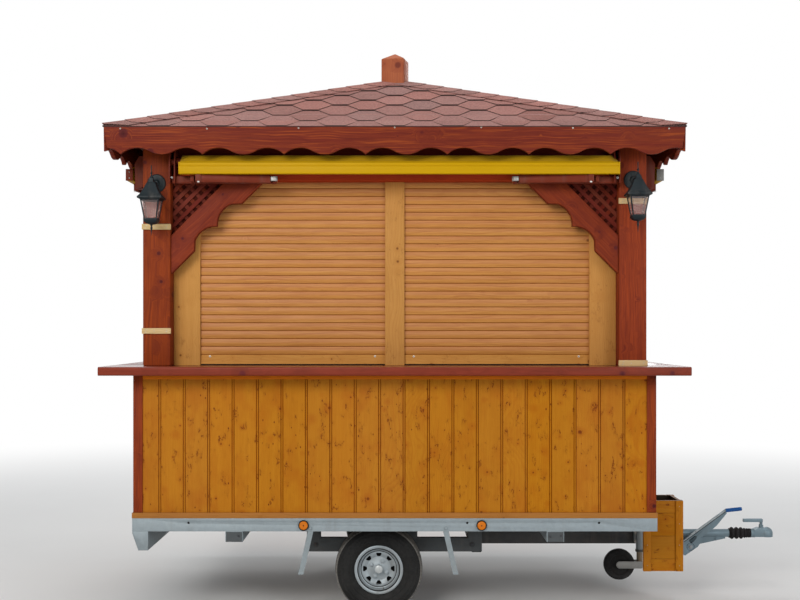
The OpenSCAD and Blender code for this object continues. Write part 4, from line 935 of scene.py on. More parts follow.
def clip(outline, a, b, c):
    """The part of a convex outline where a*x + b*y <= c."""
    out = []
    for p, q in zip(outline, outline[1:] + outline[:1]):
        dp, dq = a * p[0] + b * p[1] - c, a * q[0] + b * q[1] - c
        if dp <= 0:
            out.append(p)
        if dp * dq < 0:
            t = dp / (dp - dq)
            out.append((p[0] + t * (q[0] - p[0]), p[1] + t * (q[1] - p[1])))
    return out


def signed_area(outline):
    """Area of an outline, below zero where it runs clockwise."""
    return sum(p[0] * q[1] - q[0] * p[1] for p, q in zip(outline, outline[1:] + outline[:1])) / 2


def screw(kit, at, out, r=0.004, mat="bolt_zinc", slot=True):
    """A countersunk screw head with its cross, or a plain pan head, facing out."""
    m = facing_along(at, out)
    kit.lathe([(0.0, -0.001), (r, -0.001), (r, 0.0002), (r * 0.8, 0.0009), (0.0, 0.0012)], m,
              mat, 14)
    # The cross is two dark quads on the head: painted shade of its recess
    if slot:
        for a, b in ((0.62, 0.14), (0.14, 0.62)):
            kit.add([m @ Vector((sx * r * a, sy * r * b, 0.0014)) for sx, sy in
                     ((-1, -1), (1, -1), (1, 1), (-1, 1))], [(0, 1, 2, 3)], "dark_gap", out)


def hex_bolt(kit, at, out, r, mat="bolt_zinc", washer=True):
    """A hexagon head with a chamfered top, on a washer."""
    m = facing_along(at, out)
    h, base = 0.007, 0.0
    if washer:
        kit.lathe([(0.0, -0.0005), (r * 1.5, -0.0005), (r * 1.5, 0.0015), (0.0, 0.0016)], m, mat,
                  20)
        base = 0.0015
    kit.lathe([(0.0, base), (r, base), (r, base + h * 0.8), (r * 0.86, base + h), (0.0, base + h)],
              m, mat, 6)


# Stall body

def wall_boards(kit, face, reach, shift=0.0):
    """Beaded boards of a lower wall that faces the near side, with stain in their grooves."""
    s = sizes()
    w, bead, gap, sink = s.board_w, s.bead_w, s.groove_w, s.groove_d
    ease, bead_ease, narrow, least = 0.0012, 0.0025, 0.03, 0.004
    low, high = s.deck_top, s.counter_z
    front, back = -face, -face + WALL_T
    bed = front + sink
    edges = [shift + k * w for k in range(-int(reach / w) - 2, int(reach / w) + 2)]
    cuts = sorted({max(-reach, min(reach, e)) for e in edges})
    for x0, x1 in zip(cuts, cuts[1:]):
        if x1 - x0 < least:
            continue
        a = x0 + gap / 2 * (x0 > -reach)
        b = x1 - gap / 2 * (x1 < reach)
        outline = [(a, front + ease), (a + ease, front)]
        if x1 - x0 > narrow:
            g1 = x1 - gap / 2 - bead
            g0 = g1 - gap
            outline += [(g0 - ease, front), (g0, front + ease), (g0, bed), (g1, bed),
                        (g1, front + bead_ease), (g1 + 0.3 * bead, front),
                        (b - 0.3 * bead, front), (b, front + bead_ease)]
            # A dark strip on the groove's floor: painted shade
            kit.box((g0, bed - 0.0004, low), (g1, bed + 0.001, high), "groove_stain")
        else:
            outline += [(b - ease, front), (b, front + ease)]
        outline += [(b, back), (a, back)]
        kit.prism(outline, high - low, Matrix.Translation((0, 0, low)), "honey_board", (0, 0, 1))
        # A dark strip fills the joint to the next board: painted shade
        if x1 < reach:
            kit.box((b - 0.001, bed, low), (b + gap + 0.001, back - 0.001, high), "groove_stain")


def build_walls():
    s = sizes()
    sides = four_sides()
    joint = 0.060
    for side, seed in (("front", 11), ("back", 12)):
        node = side + "_lower_wall"
        k = Kit(seed)
        k.turn = sides[side]
        wall_boards(k, s.half_d, s.half_l, joint)
        place(k.build(node + "_boards"), node, node)
    k = Kit(13)
    for side in ("nose", "tail"):
        k.turn = sides[side]
        wall_boards(k, s.half_l, s.half_d - WALL_T)
    place(k.build("end_lower_wall_boards"), "end_lower_walls", "end_lower_walls")
    soften("corner_trims", "red_timber", 0.0015, seed=14)
    trims = soften("wall_mouldings", "skirting_board", 0.003, seed=15)
    # Mouldings higher than this take the trim's copy of the finish: painted shade under the counter
    trims.data.materials.append(MATS["counter_shade_trim"])
    under_counter = 1.0
    for f in trims.data.polygons:
        f.material_index = int(f.center.z > under_counter)
    soften("floor_deck", "plywood", 0.001, seed=16)
    soften("counter", "counter_timber", 0.0015, seed=17)


def build_posts():
    s = sizes()
    soften_all((("corner_posts", "red_timber", 0.007, 3, 25),
                ("shutter_frames", "pale_board", 0.002, 2, 22),
                ("header_boxes", "header_timber", 0.002, 2, 23),
                # The braces take the darker copy of the red stain: painted shade
                ("post_braces", "brace_shaded_timber", 0.005, 3, 27)))
    soften("finial_post", "finial_timber", 0.004, 3, 31, along=(0, 0, 1))
    soften("post_battens", "raw_pine", 0.0015, seed=29)
    nails = Kit(5)
    face = -(s.half_d - POST_IN) - 0.012
    spots = ((-0.062, 0.010), (-0.055, 0.023), (0.058, 0.012), (0.063, 0.022), (-0.012, 0.016))
    for x, rise in ((-POST_X, 0.186), (-POST_X, 0.790), (POST_X, 0.0), (POST_X, 0.940)):
        for dx, dz in spots:
            screw(nails, (x + dx, face, s.counter_top + rise + dz), (0, -1, 0), 0.0026, slot=False)
    place(nails.build("batten_nails"), "side_rails")


def lattice_corner(kit, face, span):
    """Crossed bars and the dark board behind them, in both upper corners of an opening."""
    leg, bar, pitch, t, back_t = 0.382, 0.0235, 0.047, 0.007, 0.004
    depth = -face + 0.067
    count = int(leg * 1.5 / pitch) + 1

    def corner(side, y):
        return frame_at((side * -span / 2, y, sizes().header_z), (side, 0, 0), (0, 0, 1),
                        (0, -1, 0))

    for side in (-1, 1):
        for layer, turn in enumerate((45, -45)):
            c, q = math.cos(math.radians(turn)), math.sin(math.radians(turn))
            for i in range(-count, count + 1):
                low = i * pitch - bar / 2
                strip = [(c * x - q * y, q * x + c * y) for x, y in
                         ((-1.0, low), (1.0, low), (1.0, low + bar), (-1.0, low + bar))]
                strip = clip(clip(clip(strip, -1, 0, 0), 0, 1, 0), 1, -1, leg)
                if len(strip) > 2 and abs(signed_area(strip)) >= 2e-5:
                    kit.prism(strip, t - 0.0004, corner(side, depth + layer * t + t),
                              "lattice_timber", (c, q, 0))
        # The dark board behind the bars: painted shade seen through the lattice
        kit.prism([(0, 0), (leg, 0), (0, -leg)], back_t, corner(side, depth + 2 * t + back_t),
                  "lattice_back", (1, 0, 0))


def faces_of(side):
    """The posts' face on a side, and the posts' faces on the sides next to it."""
    s = sizes()
    ends = (s.half_d - POST_IN, s.half_l - POST_IN)
    return ends if side in ("front", "back") else ends[::-1]


def build_lattice():
    k = Kit(33)
    for side, turn in four_sides().items():
        k.turn = turn
        face, other = faces_of(side)
        lattice_corner(k, face, 2 * (other - POST_W))
    place(k.build("lattice_bars", 0.0008, 1), "lattice_panels", "lattice_panels")


def curtain(kit, face, low_x, high_x):
    """Convex slats joined by narrow hinges, over a flat bottom bar with a rubber seal."""
    s = sizes()
    front = -face + 0.122
    low = s.counter_top + 0.014
    bar, foot, seal = low + 0.048, low - 0.0065, low - 0.0135
    hinge, bulge, steps = 0.0050, 0.0042, 8

    def strip(outline, mat, tint=None):
        kit.prism([(front + y, z) for y, z in outline], high_x - low_x, along_x(low_x), mat,
                  (0, 0, 1), tint)

    strip([(0.014, foot), (-0.004, foot), (-0.004, bar - 0.003), (-0.001, bar), (0.014, bar)],
          "pale_board", 0.4)
    strip([(0.011, seal), (0.004, seal), (0.002, foot), (0.013, foot)], "bellows_rubber")
    z = bar
    while z < s.header_z - 0.004:
        top = min(z + s.slat_h, s.header_z)
        start = z + hinge
        curve = [(0.012, start), (0.0035, start)]
        for i in range(steps + 1):
            t = i / steps
            out = bulge * math.sin(math.pi * (0.06 + 0.88 * t))
            curve.append((-out, start + (top - start) * t))
        strip(curve + [(0.0035, top), (0.012, top)], "slat_print")
        # The recessed hinge under each slat, darker: painted shade
        strip([(0.012, z), (0.0030, z), (0.0015, z + hinge / 2), (0.0030, start),
               (0.012, start)], "slat_hinge")
        z = top
    for x in (low_x + 0.055, high_x - 0.06):
        screw(kit, (x, front - 0.0042, low + 0.038), (0, -1, 0), 0.0065, "screw_zinc")


def build_shutters():
    sides = four_sides()
    half_mullion = 0.057
    for group_name, pair, seed in (("long", ("front", "back"), 41), ("end", ("nose", "tail"), 42)):
        k = Kit(seed)
        for side in pair:
            k.turn = sides[side]
            face, other = faces_of(side)
            edge = other - POST_W - SIDE_BOARD_W
            if group_name == "long":
                curtain(k, face, -edge, -half_mullion)
                curtain(k, face, half_mullion, edge)
            else:
                curtain(k, face, -edge, edge)
        node = group_name + "_shutters"
        place(k.build(group_name + "_shutter_slats", 0, 1, 40), node, node)


# Roof

def build_fascia():
    s = sizes()
    soften("fascia_boards", "fascia_timber", 0.0025, seed=37)
    k = Kit(51)
    spacing, board_out, past_wall = 0.51, 0.145, 0.05
    for side, turn in four_sides().items():
        k.turn = turn
        face, reach = (s.half_d, s.half_l) if side in ("front", "back") else (s.half_l, s.half_d)
        face, reach = face + board_out, reach + past_wall
        count = round(2 * reach / spacing)
        for i in range(count + 1):
            # The screws stray a little from an even row
            x = -reach + 2 * reach * i / count - 0.018 * (1 - math.cos(2.1 * i))
            drop = 0.013 + 0.004 * math.sin(7.3 * i + 1.0)
            screw(k, (x, -face, s.eaves_z - drop), (0, -1, 0), 0.0045, "screw_zinc")
    place(k.build("fascia_screws"), "side_rails")


def roof_frame(out):
    """Frame of the near roof face: u along the eaves, v up the slope, and its length."""
    s = sizes()
    length = math.hypot(out, s.roof_rise)
    up = Vector((0, out / length, s.roof_rise / length))
    side = Vector((1, 0, 0))
    normal = side.cross(up)
    return frame_at((0, -out, s.eaves_z + s.drip_t), side, up, normal), length


def roof_side(kit, out, reach, rng):
    """Soffit boards, starter strip and hexagon tabs of one roof face."""
    s = sizes()
    t, row, period = s.shingle_t, s.shingle_row, s.shingle_period
    soffit_w, soffit_t, soffit_from, gap = 0.12, 0.0153, 0.036, 0.0004
    half, wide, lip_w, first_row, sink = 0.046, period / 2 - 0.046, 0.30, 0.120, 0.0155
    m, length = roof_frame(out)
    m = m @ Matrix.Translation((0, 0, -s.shingle_sink))

    def inside(outline, margin=0.0):
        for sign in (-1, 1):
            outline = clip(outline, sign * length, reach, (reach - margin) * length)
        return outline

    ends = inside([(-reach, soffit_from), (reach, soffit_from), (reach, length),
                   (-reach, length)])
    for i in range(int(length / soffit_w) + 1):
        strip = clip(clip(ends, 0, -1, -i * soffit_w), 0, 1, (i + 1) * soffit_w)
        if len(strip) > 2 and abs(signed_area(strip)) > 1e-4:
            kit.prism(strip, soffit_t, m @ Matrix.Translation((0, 0, -sink)), "counter_timber",
                      (1, 0, 0))
    lip = inside([(-reach, 0.0), (reach, 0.0), (reach, lip_w), (-reach, lip_w)])
    kit.prism(lip, t, m, "shingle_grit", (1, 0, 0), 0.3, "felt_edge")
    tilt = Matrix.Rotation(-math.atan2(t, row), 4, "X")
    k = 0
    v = first_row - row
    while v < length:
        count = int(reach / period) + 2
        for i in range(-count, count + 1):
            u = i * period + (k % 2) * period / 2 + rng.uniform(-0.003, 0.003)
            slip = rng.uniform(-0.002, 0.002)
            low, high = u - period / 2 + gap, u + period / 2 - gap
            tongue = [(u - half, slip), (u + half, slip), (u + wide, row), (u - wide, row)]
            sheet = [(high, row), (high, 2 * row + 0.01), (low, 2 * row + 0.01), (low, row)]
            tint = rng.random()
            for part in (tongue, sheet):
                part = clip([(x, y + v) for x, y in part], 0, -1, 0.0)
                part = clip(inside(part, 0.001), 0, 1, length)
                if len(part) > 2 and abs(signed_area(part)) >= 1e-4:
                    kit.prism([(x, y - v) for x, y in part], t,
                              m @ Matrix.Translation((0, v, t + 0.0005)) @ tilt, "shingle_grit",
                              (1, 0, 0), tint, "felt_edge")
        v += row
        k += 1


def hip_caps(kit, corner, rng):
    """Bent caps that overlap up one hip, from the corner to the finial."""
    s = sizes()
    turns = []
    for swap_axes in (False, True):
        out, reach = (corner[0], corner[1]) if swap_axes else (corner[1], corner[0])
        m, length = roof_frame(out)
        spin = Matrix.Rotation(math.radians(90), 4, "Z") @ Matrix.Diagonal((-1, 1, 1, 1))
        turns.append(((spin @ m) if swap_axes else m, length, reach))
    step, w, t = s.shingle_row, 0.095, s.shingle_t
    top_gap, lap = 0.12, 0.02
    crest_lift, tuck, slope = 0.0100, 0.0055, 0.0065
    run = math.hypot(turns[0][2], turns[0][1])
    n = int((run - top_gap) / step)
    normals = [(m.to_3x3() @ Vector((0, 0, 1))) for m, _, _ in turns]
    crest = (normals[0] + normals[1]).normalized()
    crest = crest / crest.dot(normals[0])
    for i in range(n + 1):
        a = i * step
        b = min(a + 2 * step - lap, run - lap)
        tint = rng.random()
        for (m, length, reach), normal in zip(turns, normals):
            along = Vector((-reach, length)).normalized()
            inward = Vector((-along.y, along.x))
            foot = Vector((reach, 0.0))
            shape = [foot + along * a, foot + along * (a + 0.012) + inward * w * 0.6,
                     foot + along * (a + step * 0.5) + inward * w,
                     foot + along * b + inward * w * 0.85, foot + along * b]
            shape = clip([tuple(p) for p in shape], 0, -1, 0.0)
            verts = []
            for px, py in shape:
                d = Vector((px, py)) - foot
                along_hip, off = d.dot(along), d.dot(inward)
                lift = (crest_lift - tuck * (along_hip - a) / (b - a)
                        - slope * min(1.0, off / w))
                rise = crest if off < 1e-5 else normal
                p = m @ Vector((px, py, 0))
                verts += [p + rise * lift, p + rise * (lift - t * 0.9)]
            k = len(shape)
            low = [(Vector(q) - foot).dot(along) < a + 0.5 * step + 0.001 for q in shape]
            cells = [tuple(range(0, 2 * k, 2)), tuple(range(1, 2 * k, 2))[::-1]]
            cells += [(2 * j, 2 * j + 1, (2 * j + 3) % (2 * k), (2 * j + 2) % (2 * k))
                      for j in range(k)]
            rims = ["felt_edge" if low[j] and low[(j + 1) % k] else "shingle_grit"
                    for j in range(k)]
            kit.add(verts, cells, ["shingle_grit"] * 2 + rims, None, tint)


def build_roof():
    s = sizes()
    rng = random.Random(71)
    k = Kit(72)
    x, y = s.half_l + s.roof_reach, s.half_d + s.roof_reach
    for side, turn in four_sides().items():
        k.turn = turn
        out, reach = (y, x) if side in ("front", "back") else (x, y)
        roof_side(k, out, reach, rng)
    for sx in (-1, 1):
        for sy in (1, -1):
            k.turn = Matrix.Diagonal((sx, sy, 1, 1))
            hip_caps(k, (x, y), rng)
    obj = k.build("roof_shingles", 0, 1, 25)
    face_outward(obj)
    place(obj, "roof_panels", "roof_panels")


# Awnings

def awning(kit, face, span, bar_l, shift, cap):
    """Brackets, folded arms, elbows, clips and front bar of an awning on the near side."""
    header_z = sizes().header_z
    z, roller_z = header_z + BAR_RISE, header_z + 0.116
    foot = z - 0.0443
    y = -face - BAR_OUT
    profile = [(0.042, 0.002), (0.006, 0.0), (0.001, 0.004), (0.0, 0.040), (0.001, 0.044),
               (0.0045, 0.046), (0.0045, 0.049), (0.002, 0.051), (0.003, 0.064), (0.010, 0.069),
               (0.016, 0.069), (0.018, 0.063), (0.024, 0.063), (0.026, 0.069), (0.040, 0.068),
               (0.042, 0.059)]
    kit.prism([(y + dy, z + dz) for dy, dz in profile], bar_l - 0.008,
              along_x(shift - bar_l / 2 + 0.004), "awning_yellow", (0, 0, 1), 0.5)
    for side in (-1, 1):
        x = shift + side * bar_l / 2
        low, high = sorted((x, x - side * 0.006))
        kit.box((low, y, z), (high, y + 0.042, z + 0.069), cap)
        for dz in (0.016, 0.052):
            screw(kit, (x, y + 0.021, z + dz), (side, 0, 0), 0.004, "cast_silver")
    whole = kit.turn
    for side in (1, -1):
        kit.turn = whole @ Matrix.Diagonal((side, 1, 1, 1))
        awning_half(kit, face, -span / 2, foot, z, roller_z)
    kit.turn = whole


def awning_half(kit, face, end, foot, bar_z, roller_z):
    """One bracket of an awning with its folded arm. face, end and foot place it."""
    r = 0.039
    y = -face - ROLL_OUT
    back = -face + 0.020
    mat, grain = "awning_brown", (0, 0, 1)
    cheek = [(back, sizes().header_z + 0.002), (y - 0.5 * r, foot), (y - 1.1 * r, foot),
             (y - 1.2 * r, roller_z), (y - 0.5 * r, roller_z + 1.2 * r),
             (back, roller_z + 1.2 * r)]
    kit.prism(cheek, 0.007, along_x(end + 0.006), mat, grain)
    kit.prism(cheek, 0.006, along_x(end + 0.036), mat, grain)
    kit.lathe([(0.0, 0.0), (0.020, 0.0), (0.020, 0.030), (0.0, 0.030)],
              along_x(end + 0.010, y, roller_z - 0.016), mat, 24)
    screw(kit, (end + 0.024, y - 1.15 * r, foot + 0.030), (0, -1, 0), 0.0065, "cast_silver")

    reach = 0.558
    shoulder = end + 0.042
    elbow = shoulder + reach
    upper = [(-0.032, 0.004), (-0.041, 0.0), (-0.054, 0.0), (-0.058, 0.006), (-0.058, 0.038),
             (-0.054, 0.044), (-0.036, 0.044), (-0.032, 0.040)]
    kit.prism(upper, reach + 0.012, along_x(shoulder - 0.02, -face, foot), mat, grain)
    tip = Vector((elbow - 0.418, -face - 0.109, foot))
    knee = Vector((elbow, -face - 0.073, foot))
    d = (tip - knee).normalized()
    fore = [(-0.0125, 0.006), (-0.009, 0.0), (0.009, 0.0), (0.0125, 0.006), (0.0125, 0.038),
            (0.009, 0.0438), (-0.009, 0.0438), (-0.0125, 0.038)]
    kit.prism(fore, (tip - knee).length - 0.012,
              frame_at(knee + d * 0.012, (d.y, -d.x, 0), (0, 0, 1), d), mat, grain)
    cast = [(-0.012, -0.036), (0.012, -0.032), (0.026, -0.042), (0.028, -0.074),
            (0.016, -0.084), (-0.008, -0.083)]
    kit.prism([(elbow + px, py - face) for px, py in cast], 0.026,
              Matrix.Translation((0, 0, foot + 0.012)), "cast_silver", (1, 0, 0))
    pin = elbow + 0.008
    kit.lathe([(0.0, 0.0), (0.014, 0.0), (0.014, 0.0435), (0.0, 0.0435)],
              Matrix.Translation((pin, -0.046 - face, foot)), mat, 20)
    for py in (-0.046, -0.073):
        kit.lathe([(0.0, -0.002), (0.009, -0.002), (0.009, 0.0), (0.0, 0.0)],
                  Matrix.Translation((pin, py - face, foot)), mat, 18)
    kit.box((tip.x - 0.016, tip.y - 0.016, foot + 0.004),
            (tip.x + 0.016, tip.y + 0.012, bar_z + 0.003), mat)
    kit.box((tip.x - 0.004, tip.y - 0.020, foot - 0.002),
            (tip.x + 0.007, tip.y - 0.006, foot + 0.005), "clip_white")
    kit.box((elbow - 0.468, -face - 0.096, foot + 0.006),
            (elbow - 0.448, -face - 0.058, foot + 0.040), mat)


def awning_cloth(face, rolled, hem):
    """Curved sheet from the roller to the front bar. Each end has its length and its shift."""
    header_z = sizes().header_z
    r, sag, ripple, cols, steps = 0.0362, 0.0018, 0.0006, 60, 8
    centre = Vector((-face - ROLL_OUT, header_z + ROLL_RISE))
    bar_mid, bar_h = 0.021, 0.0705
    bar_top = Vector((-face - BAR_OUT + bar_mid, header_z + BAR_RISE + bar_h))
    d = bar_top - centre
    leave = math.atan2(d.y, d.x) % (2 * math.pi) - math.acos(r / d.length)
    first = math.radians(80)
    path = []
    for i in range(steps + 1):
        a = first + (leave - first) * i / steps
        path.append(centre + Vector((math.cos(a), math.sin(a))) * r)
    start = path[-1]
    for i in range(1, steps + 1):
        t = i / steps
        path.append(start.lerp(bar_top, t) - Vector((0, sag * math.sin(math.pi * t))))
    n = len(path)
    verts, faces = [], []
    for j in range(cols + 1):
        for i, p in enumerate(path):
            part = max(0, i - steps) / steps
            length, shift = (a + (b - a) * part for a, b in zip(rolled, hem))
            wave = ripple * math.sin(j * 1.7 + i * 0.4) * math.sin(math.pi * part)
            verts.append((shift - length / 2 + length * j / cols, p.x, p.y + wave))
    for j in range(cols):
        for i in range(n - 1):
            a = j * n + i
            faces.append((a, a + 1, a + n + 1, a + n))
    return verts, faces, sum((q - p).length for p, q in zip(path, path[1:]))


def build_awnings():
    sides = four_sides()
    header_z = sizes().header_z
    k = Kit(81)
    rolls = Kit(82)
    # How much shorter the parts are than the opening, and the cloth than the bar
    roll_gap, core_gap, cloth_gap, cap_gap = 0.124, 0.086, 0.074, 0.008
    for side, bar_l, shift, cap in (("front", 2.512, 0.026, "awning_yellow"),
                                    ("nose", 1.590, 0.0, "awning_cap"),
                                    ("tail", 1.590, 0.0, "awning_brown")):
        k.turn = rolls.turn = sides[side]
        face, other = faces_of(side)
        span = 2 * (other - POST_W)
        awning(k, face, span, bar_l, shift, cap)
        rolled = (span - roll_gap, 0.7 * shift)
        for wide, at, r, mat in ((span - core_gap, 0.0, 0.022, "awning_brown"),
                                 (*rolled, 0.034, "awning_canvas")):
            rolls.lathe([(0.0, 0.0), (r - 0.003, 0.0), (r, 0.004), (r, wide - 0.004),
                         (r - 0.003, wide), (0.0, wide)],
                        along_x(at - wide / 2, -face - ROLL_OUT, header_z + ROLL_RISE), mat, 40)
        hem = min(bar_l - cap_gap, span - cloth_gap)
        verts, faces, cut = awning_cloth(face, rolled, (hem, shift))
        sheet = Kit(83)
        sheet.turn = sides[side]
        sheet.add(verts, faces, "awning_canvas", (1, 0, 0), 0.5)
        obj = sheet.build("awning_cloth_" + side, 0, 1, 60)
        m = obj.modifiers.new("thick", "SOLIDIFY")
        m.thickness = 0.0012
        m.offset = 0.0
        bake(obj)
        stands_for = ["awning_cloths"] if side == "front" else []
        place(obj, "awning_cloths", *stands_for)
    place(rolls.build("awning_rolls", 0, 1, 40), "awning_cloths", "awning_rollers")
    place(k.build("awning_metal", 0.0012, 2), "awning_rollers", "awning_arms", "awning_bars")


# Lanterns

def build_lanterns():
    soften("lantern_frames", "lantern_black", 0.0008, 2, seed=3, smooth=30)
    soften("lantern_glass", "pane", 0.0, 1, seed=3)
    k = Kit(91)
    post_face, plate_r = -0.962, 0.044
    for x, tip in ((-POST_X, 2.618), (POST_X, 2.638)):
        screw(k, (x, post_face - 0.2135, tip - 0.188), (0, -1, 0), 0.0042, "dark_gap", False)
        for a in (45, 135, 225, 315):
            dx, dz = plate_r * math.cos(math.radians(a)), plate_r * math.sin(math.radians(a))
            screw(k, (x + dx, post_face - 0.010, tip - 0.088 + dz), (0, -1, 0), 0.0035,
                  "lantern_black", False)
    place(k.build("lantern_fittings"), "lantern_frames")


# Chassis

def build_chassis():
    soften_all((("side_rails", "zinc", 0.002, 2, 101), ("cross_channels", "zinc", 0.002, 2, 102),
                ("rear_light_board", "zinc", 0.002, 2, 103),
                ("mudguard_stays", "zinc", 0.0008, 1, 104),
                ("axle_beams", "beam_paint", 0.003, 2, 105), ("axle", "soot_paint", 0.003, 2, 106)))
    bar = soften("drawbar", "soot_paint", 0.005, seed=107)
    tube_front, tube_middle, tube_top, taper = 0.532, 0.5, 0.32, 0.046
    for v in bar.data.vertices:
        if v.co.x < tube_front and abs(v.co.y) > tube_middle and v.co.z < tube_top:
            v.co.z += taper
    k = Kit(108)
    for turn in both_long_sides():
        k.turn = turn
        for x in (-0.926, 0.926):
            k.box((x - 0.0455, -1.0125, 0.459), (x + 0.0455, -1.0065, 0.5155), "beam_paint")
            k.box((x - 0.0499, -1.0130, 0.4585), (x - 0.0455, -0.9900, 0.5190), "zinc")
        for x, z in ((-0.900, 0.494), (0.896, 0.490), (0.958, 0.496)):
            hex_bolt(k, (x, -1.0125, z), (0, -1, 0), 0.006, "soot_paint", washer=False)
        for x in (-1.188, 0.418, 1.177):
            k.box((x - 0.02, -1.0085, 0.545), (x + 0.02, -1.0045, 0.592), "dark_gap")
        for x in (-0.485, 0.295):
            hex_bolt(k, (x, -1.0135, 0.538), (0, -1, 0), 0.008, "zinc")
        for x in (-0.48, -0.10, 0.10, 0.47):
            hex_bolt(k, (x, -0.633, 0.375), (0, -1, 0), 0.011, "soot_paint")
    k.turn = Matrix.Identity(4)
    rear = -1.513
    for y in (-0.72, 0.72):
        k.box((rear + 0.001, y - 0.10, 0.448), (rear + 0.018, y + 0.10, 0.500), "soot_paint")
        k.lathe([(0.0, 0.0), (0.022, 0.0), (0.022, 0.010), (0.018, 0.013), (0.0, 0.014)],
                frame_at((rear + 0.006, y - 0.06, 0.474), (0, 0, 1), (0, 1, 0), (-1, 0, 0)),
                "red_lens", 28)
    place(k.build("chassis_bolts", 0.0006, 1), "side_rails")
    lamp = Kit(109)
    for turn in both_long_sides():
        lamp.turn = turn
        for x in (-0.525, 0.500):
            marker_lamp(lamp, facing((x, -1.013, 0.555)))
    place(lamp.build("side_marker_lamps", 0, 1, 50), "side_markers", "side_markers")


def marker_lamp(kit, face):
    """A round amber lamp with stepped rings in a black rim."""
    kit.lathe([(0.0, 0.0), (0.030, 0.0), (0.030, 0.012), (0.0285, 0.0145), (0.0262, 0.0145),
               (0.0262, 0.0085), (0.0, 0.0085)], face, "dark_gap", 40)
    rings = [(0.0248, 0.008), (0.0245, 0.0125)]
    for i in range(5):
        r = 0.0232 - i * 0.0036
        rings += [(r, 0.0140 + 0.0004 * i), (r - 0.0020, 0.0150 + 0.0003 * i)]
    kit.lathe(rings + [(0.0050, 0.0162), (0.0, 0.0162)], face, "amber_lens", 40)
    kit.lathe([(0.0, 0.015), (0.0035, 0.015), (0.0035, 0.0170), (0.0, 0.0170)], face,
              "dark_gap", 16)


def tyre(name, node, centre, out):
    """Road tyre with grooves, shoulder blocks and raised sidewall rings."""
    k = Kit(120)
    m = facing(centre, out)
    half = [(0.1302, 0.0762), (0.1452, 0.0795), (0.147, 0.0855), (0.152, 0.0905),
            (0.160, 0.0955), (0.170, 0.0995), (0.1735, 0.1000), (0.1750, 0.1015),
            (0.1790, 0.1015), (0.1805, 0.1005), (0.200, 0.1022), (0.206, 0.1022),
            (0.2075, 0.1010), (0.222, 0.0995), (0.2232, 0.1004), (0.2262, 0.1000),
            (0.2275, 0.0985), (0.238, 0.0945), (0.246, 0.0900)]
    tread = [(0.2515, 0.0830), (0.2545, 0.0735), (0.2480, 0.0715), (0.2480, 0.0665),
             (0.2565, 0.0645), (0.2585, 0.0320), (0.2505, 0.0300), (0.2505, 0.0235),
             (0.2595, 0.0215), (0.2600, 0.0040), (0.2520, 0.0030)]
    side = half + tread
    ring = side + [(r, -z) for r, z in reversed(side)]
    k.lathe(ring[::-1], m, "tyre_rubber", 96, closed=True)
    blocks, slant, tread_from = 72, 0.012, 0.2440
    foot = [(0.2475, -0.0075), (0.2525, -0.0072), (0.2525, 0.0072), (0.2475, 0.0075)]
    for i in range(blocks):
        for sign in (-1, 1):
            turn = m @ Matrix.Rotation(2 * math.pi * i / blocks + sign * slant, 4, "Z")
            verts = [turn @ Vector((r + lift, t, sign * z))
                     for lift, z in ((0.0022, 0.0740), (0.0, 0.0895)) for r, t in foot]
            k.add(verts, BOX_FACES if sign > 0 else [f[::-1] for f in BOX_FACES],
                  "tyre_rubber", (0, 1, 0), 0.5)
    obj = k.build(name, 0, 1, 35)
    face_outward(obj)
    # The tread takes the lighter rubber: partly dust, partly painted light from the ground
    two_tone(obj, "tread_rubber", centre, lambda r, f: r > tread_from)
    place(obj, node, node)


def two_tone(obj, mat, centre, test):
    """Gives a wheel's faces that pass the test, by radius and face, a second finish."""
    obj.data.materials.append(MATS[mat])
    for f in obj.data.polygons:
        p = f.center - centre
        f.material_index = int(test(math.hypot(p.x, p.z), f))


def widen_windows(rim, m):
    """Spreads the eight windows of a rim sideways, with the disc between them."""
    back, step, grow, inner, outer = m.inverted(), math.radians(45), 0.0033, 0.066, 0.104

    def part(value):
        return max(0.0, min(1.0, value))

    for v in rim.data.vertices:
        p = back @ v.co
        r = math.hypot(p.x, p.y)
        if inner < r < outer:
            angle = math.atan2(p.x, p.y)
            c = round(angle / step) * step
            u, w = r * math.sin(angle - c), r * math.cos(angle - c)
            share = (part((0.026 - abs(u)) / 0.0115) * part((w - inner) / 0.005)
                     * part((outer - w) / 0.0085) * part(abs(u) / 0.006))
            u += math.copysign(grow * share, u)
            v.co = m @ Vector((w * math.sin(c) + u * math.cos(c),
                               w * math.cos(c) - u * math.sin(c), p.z))


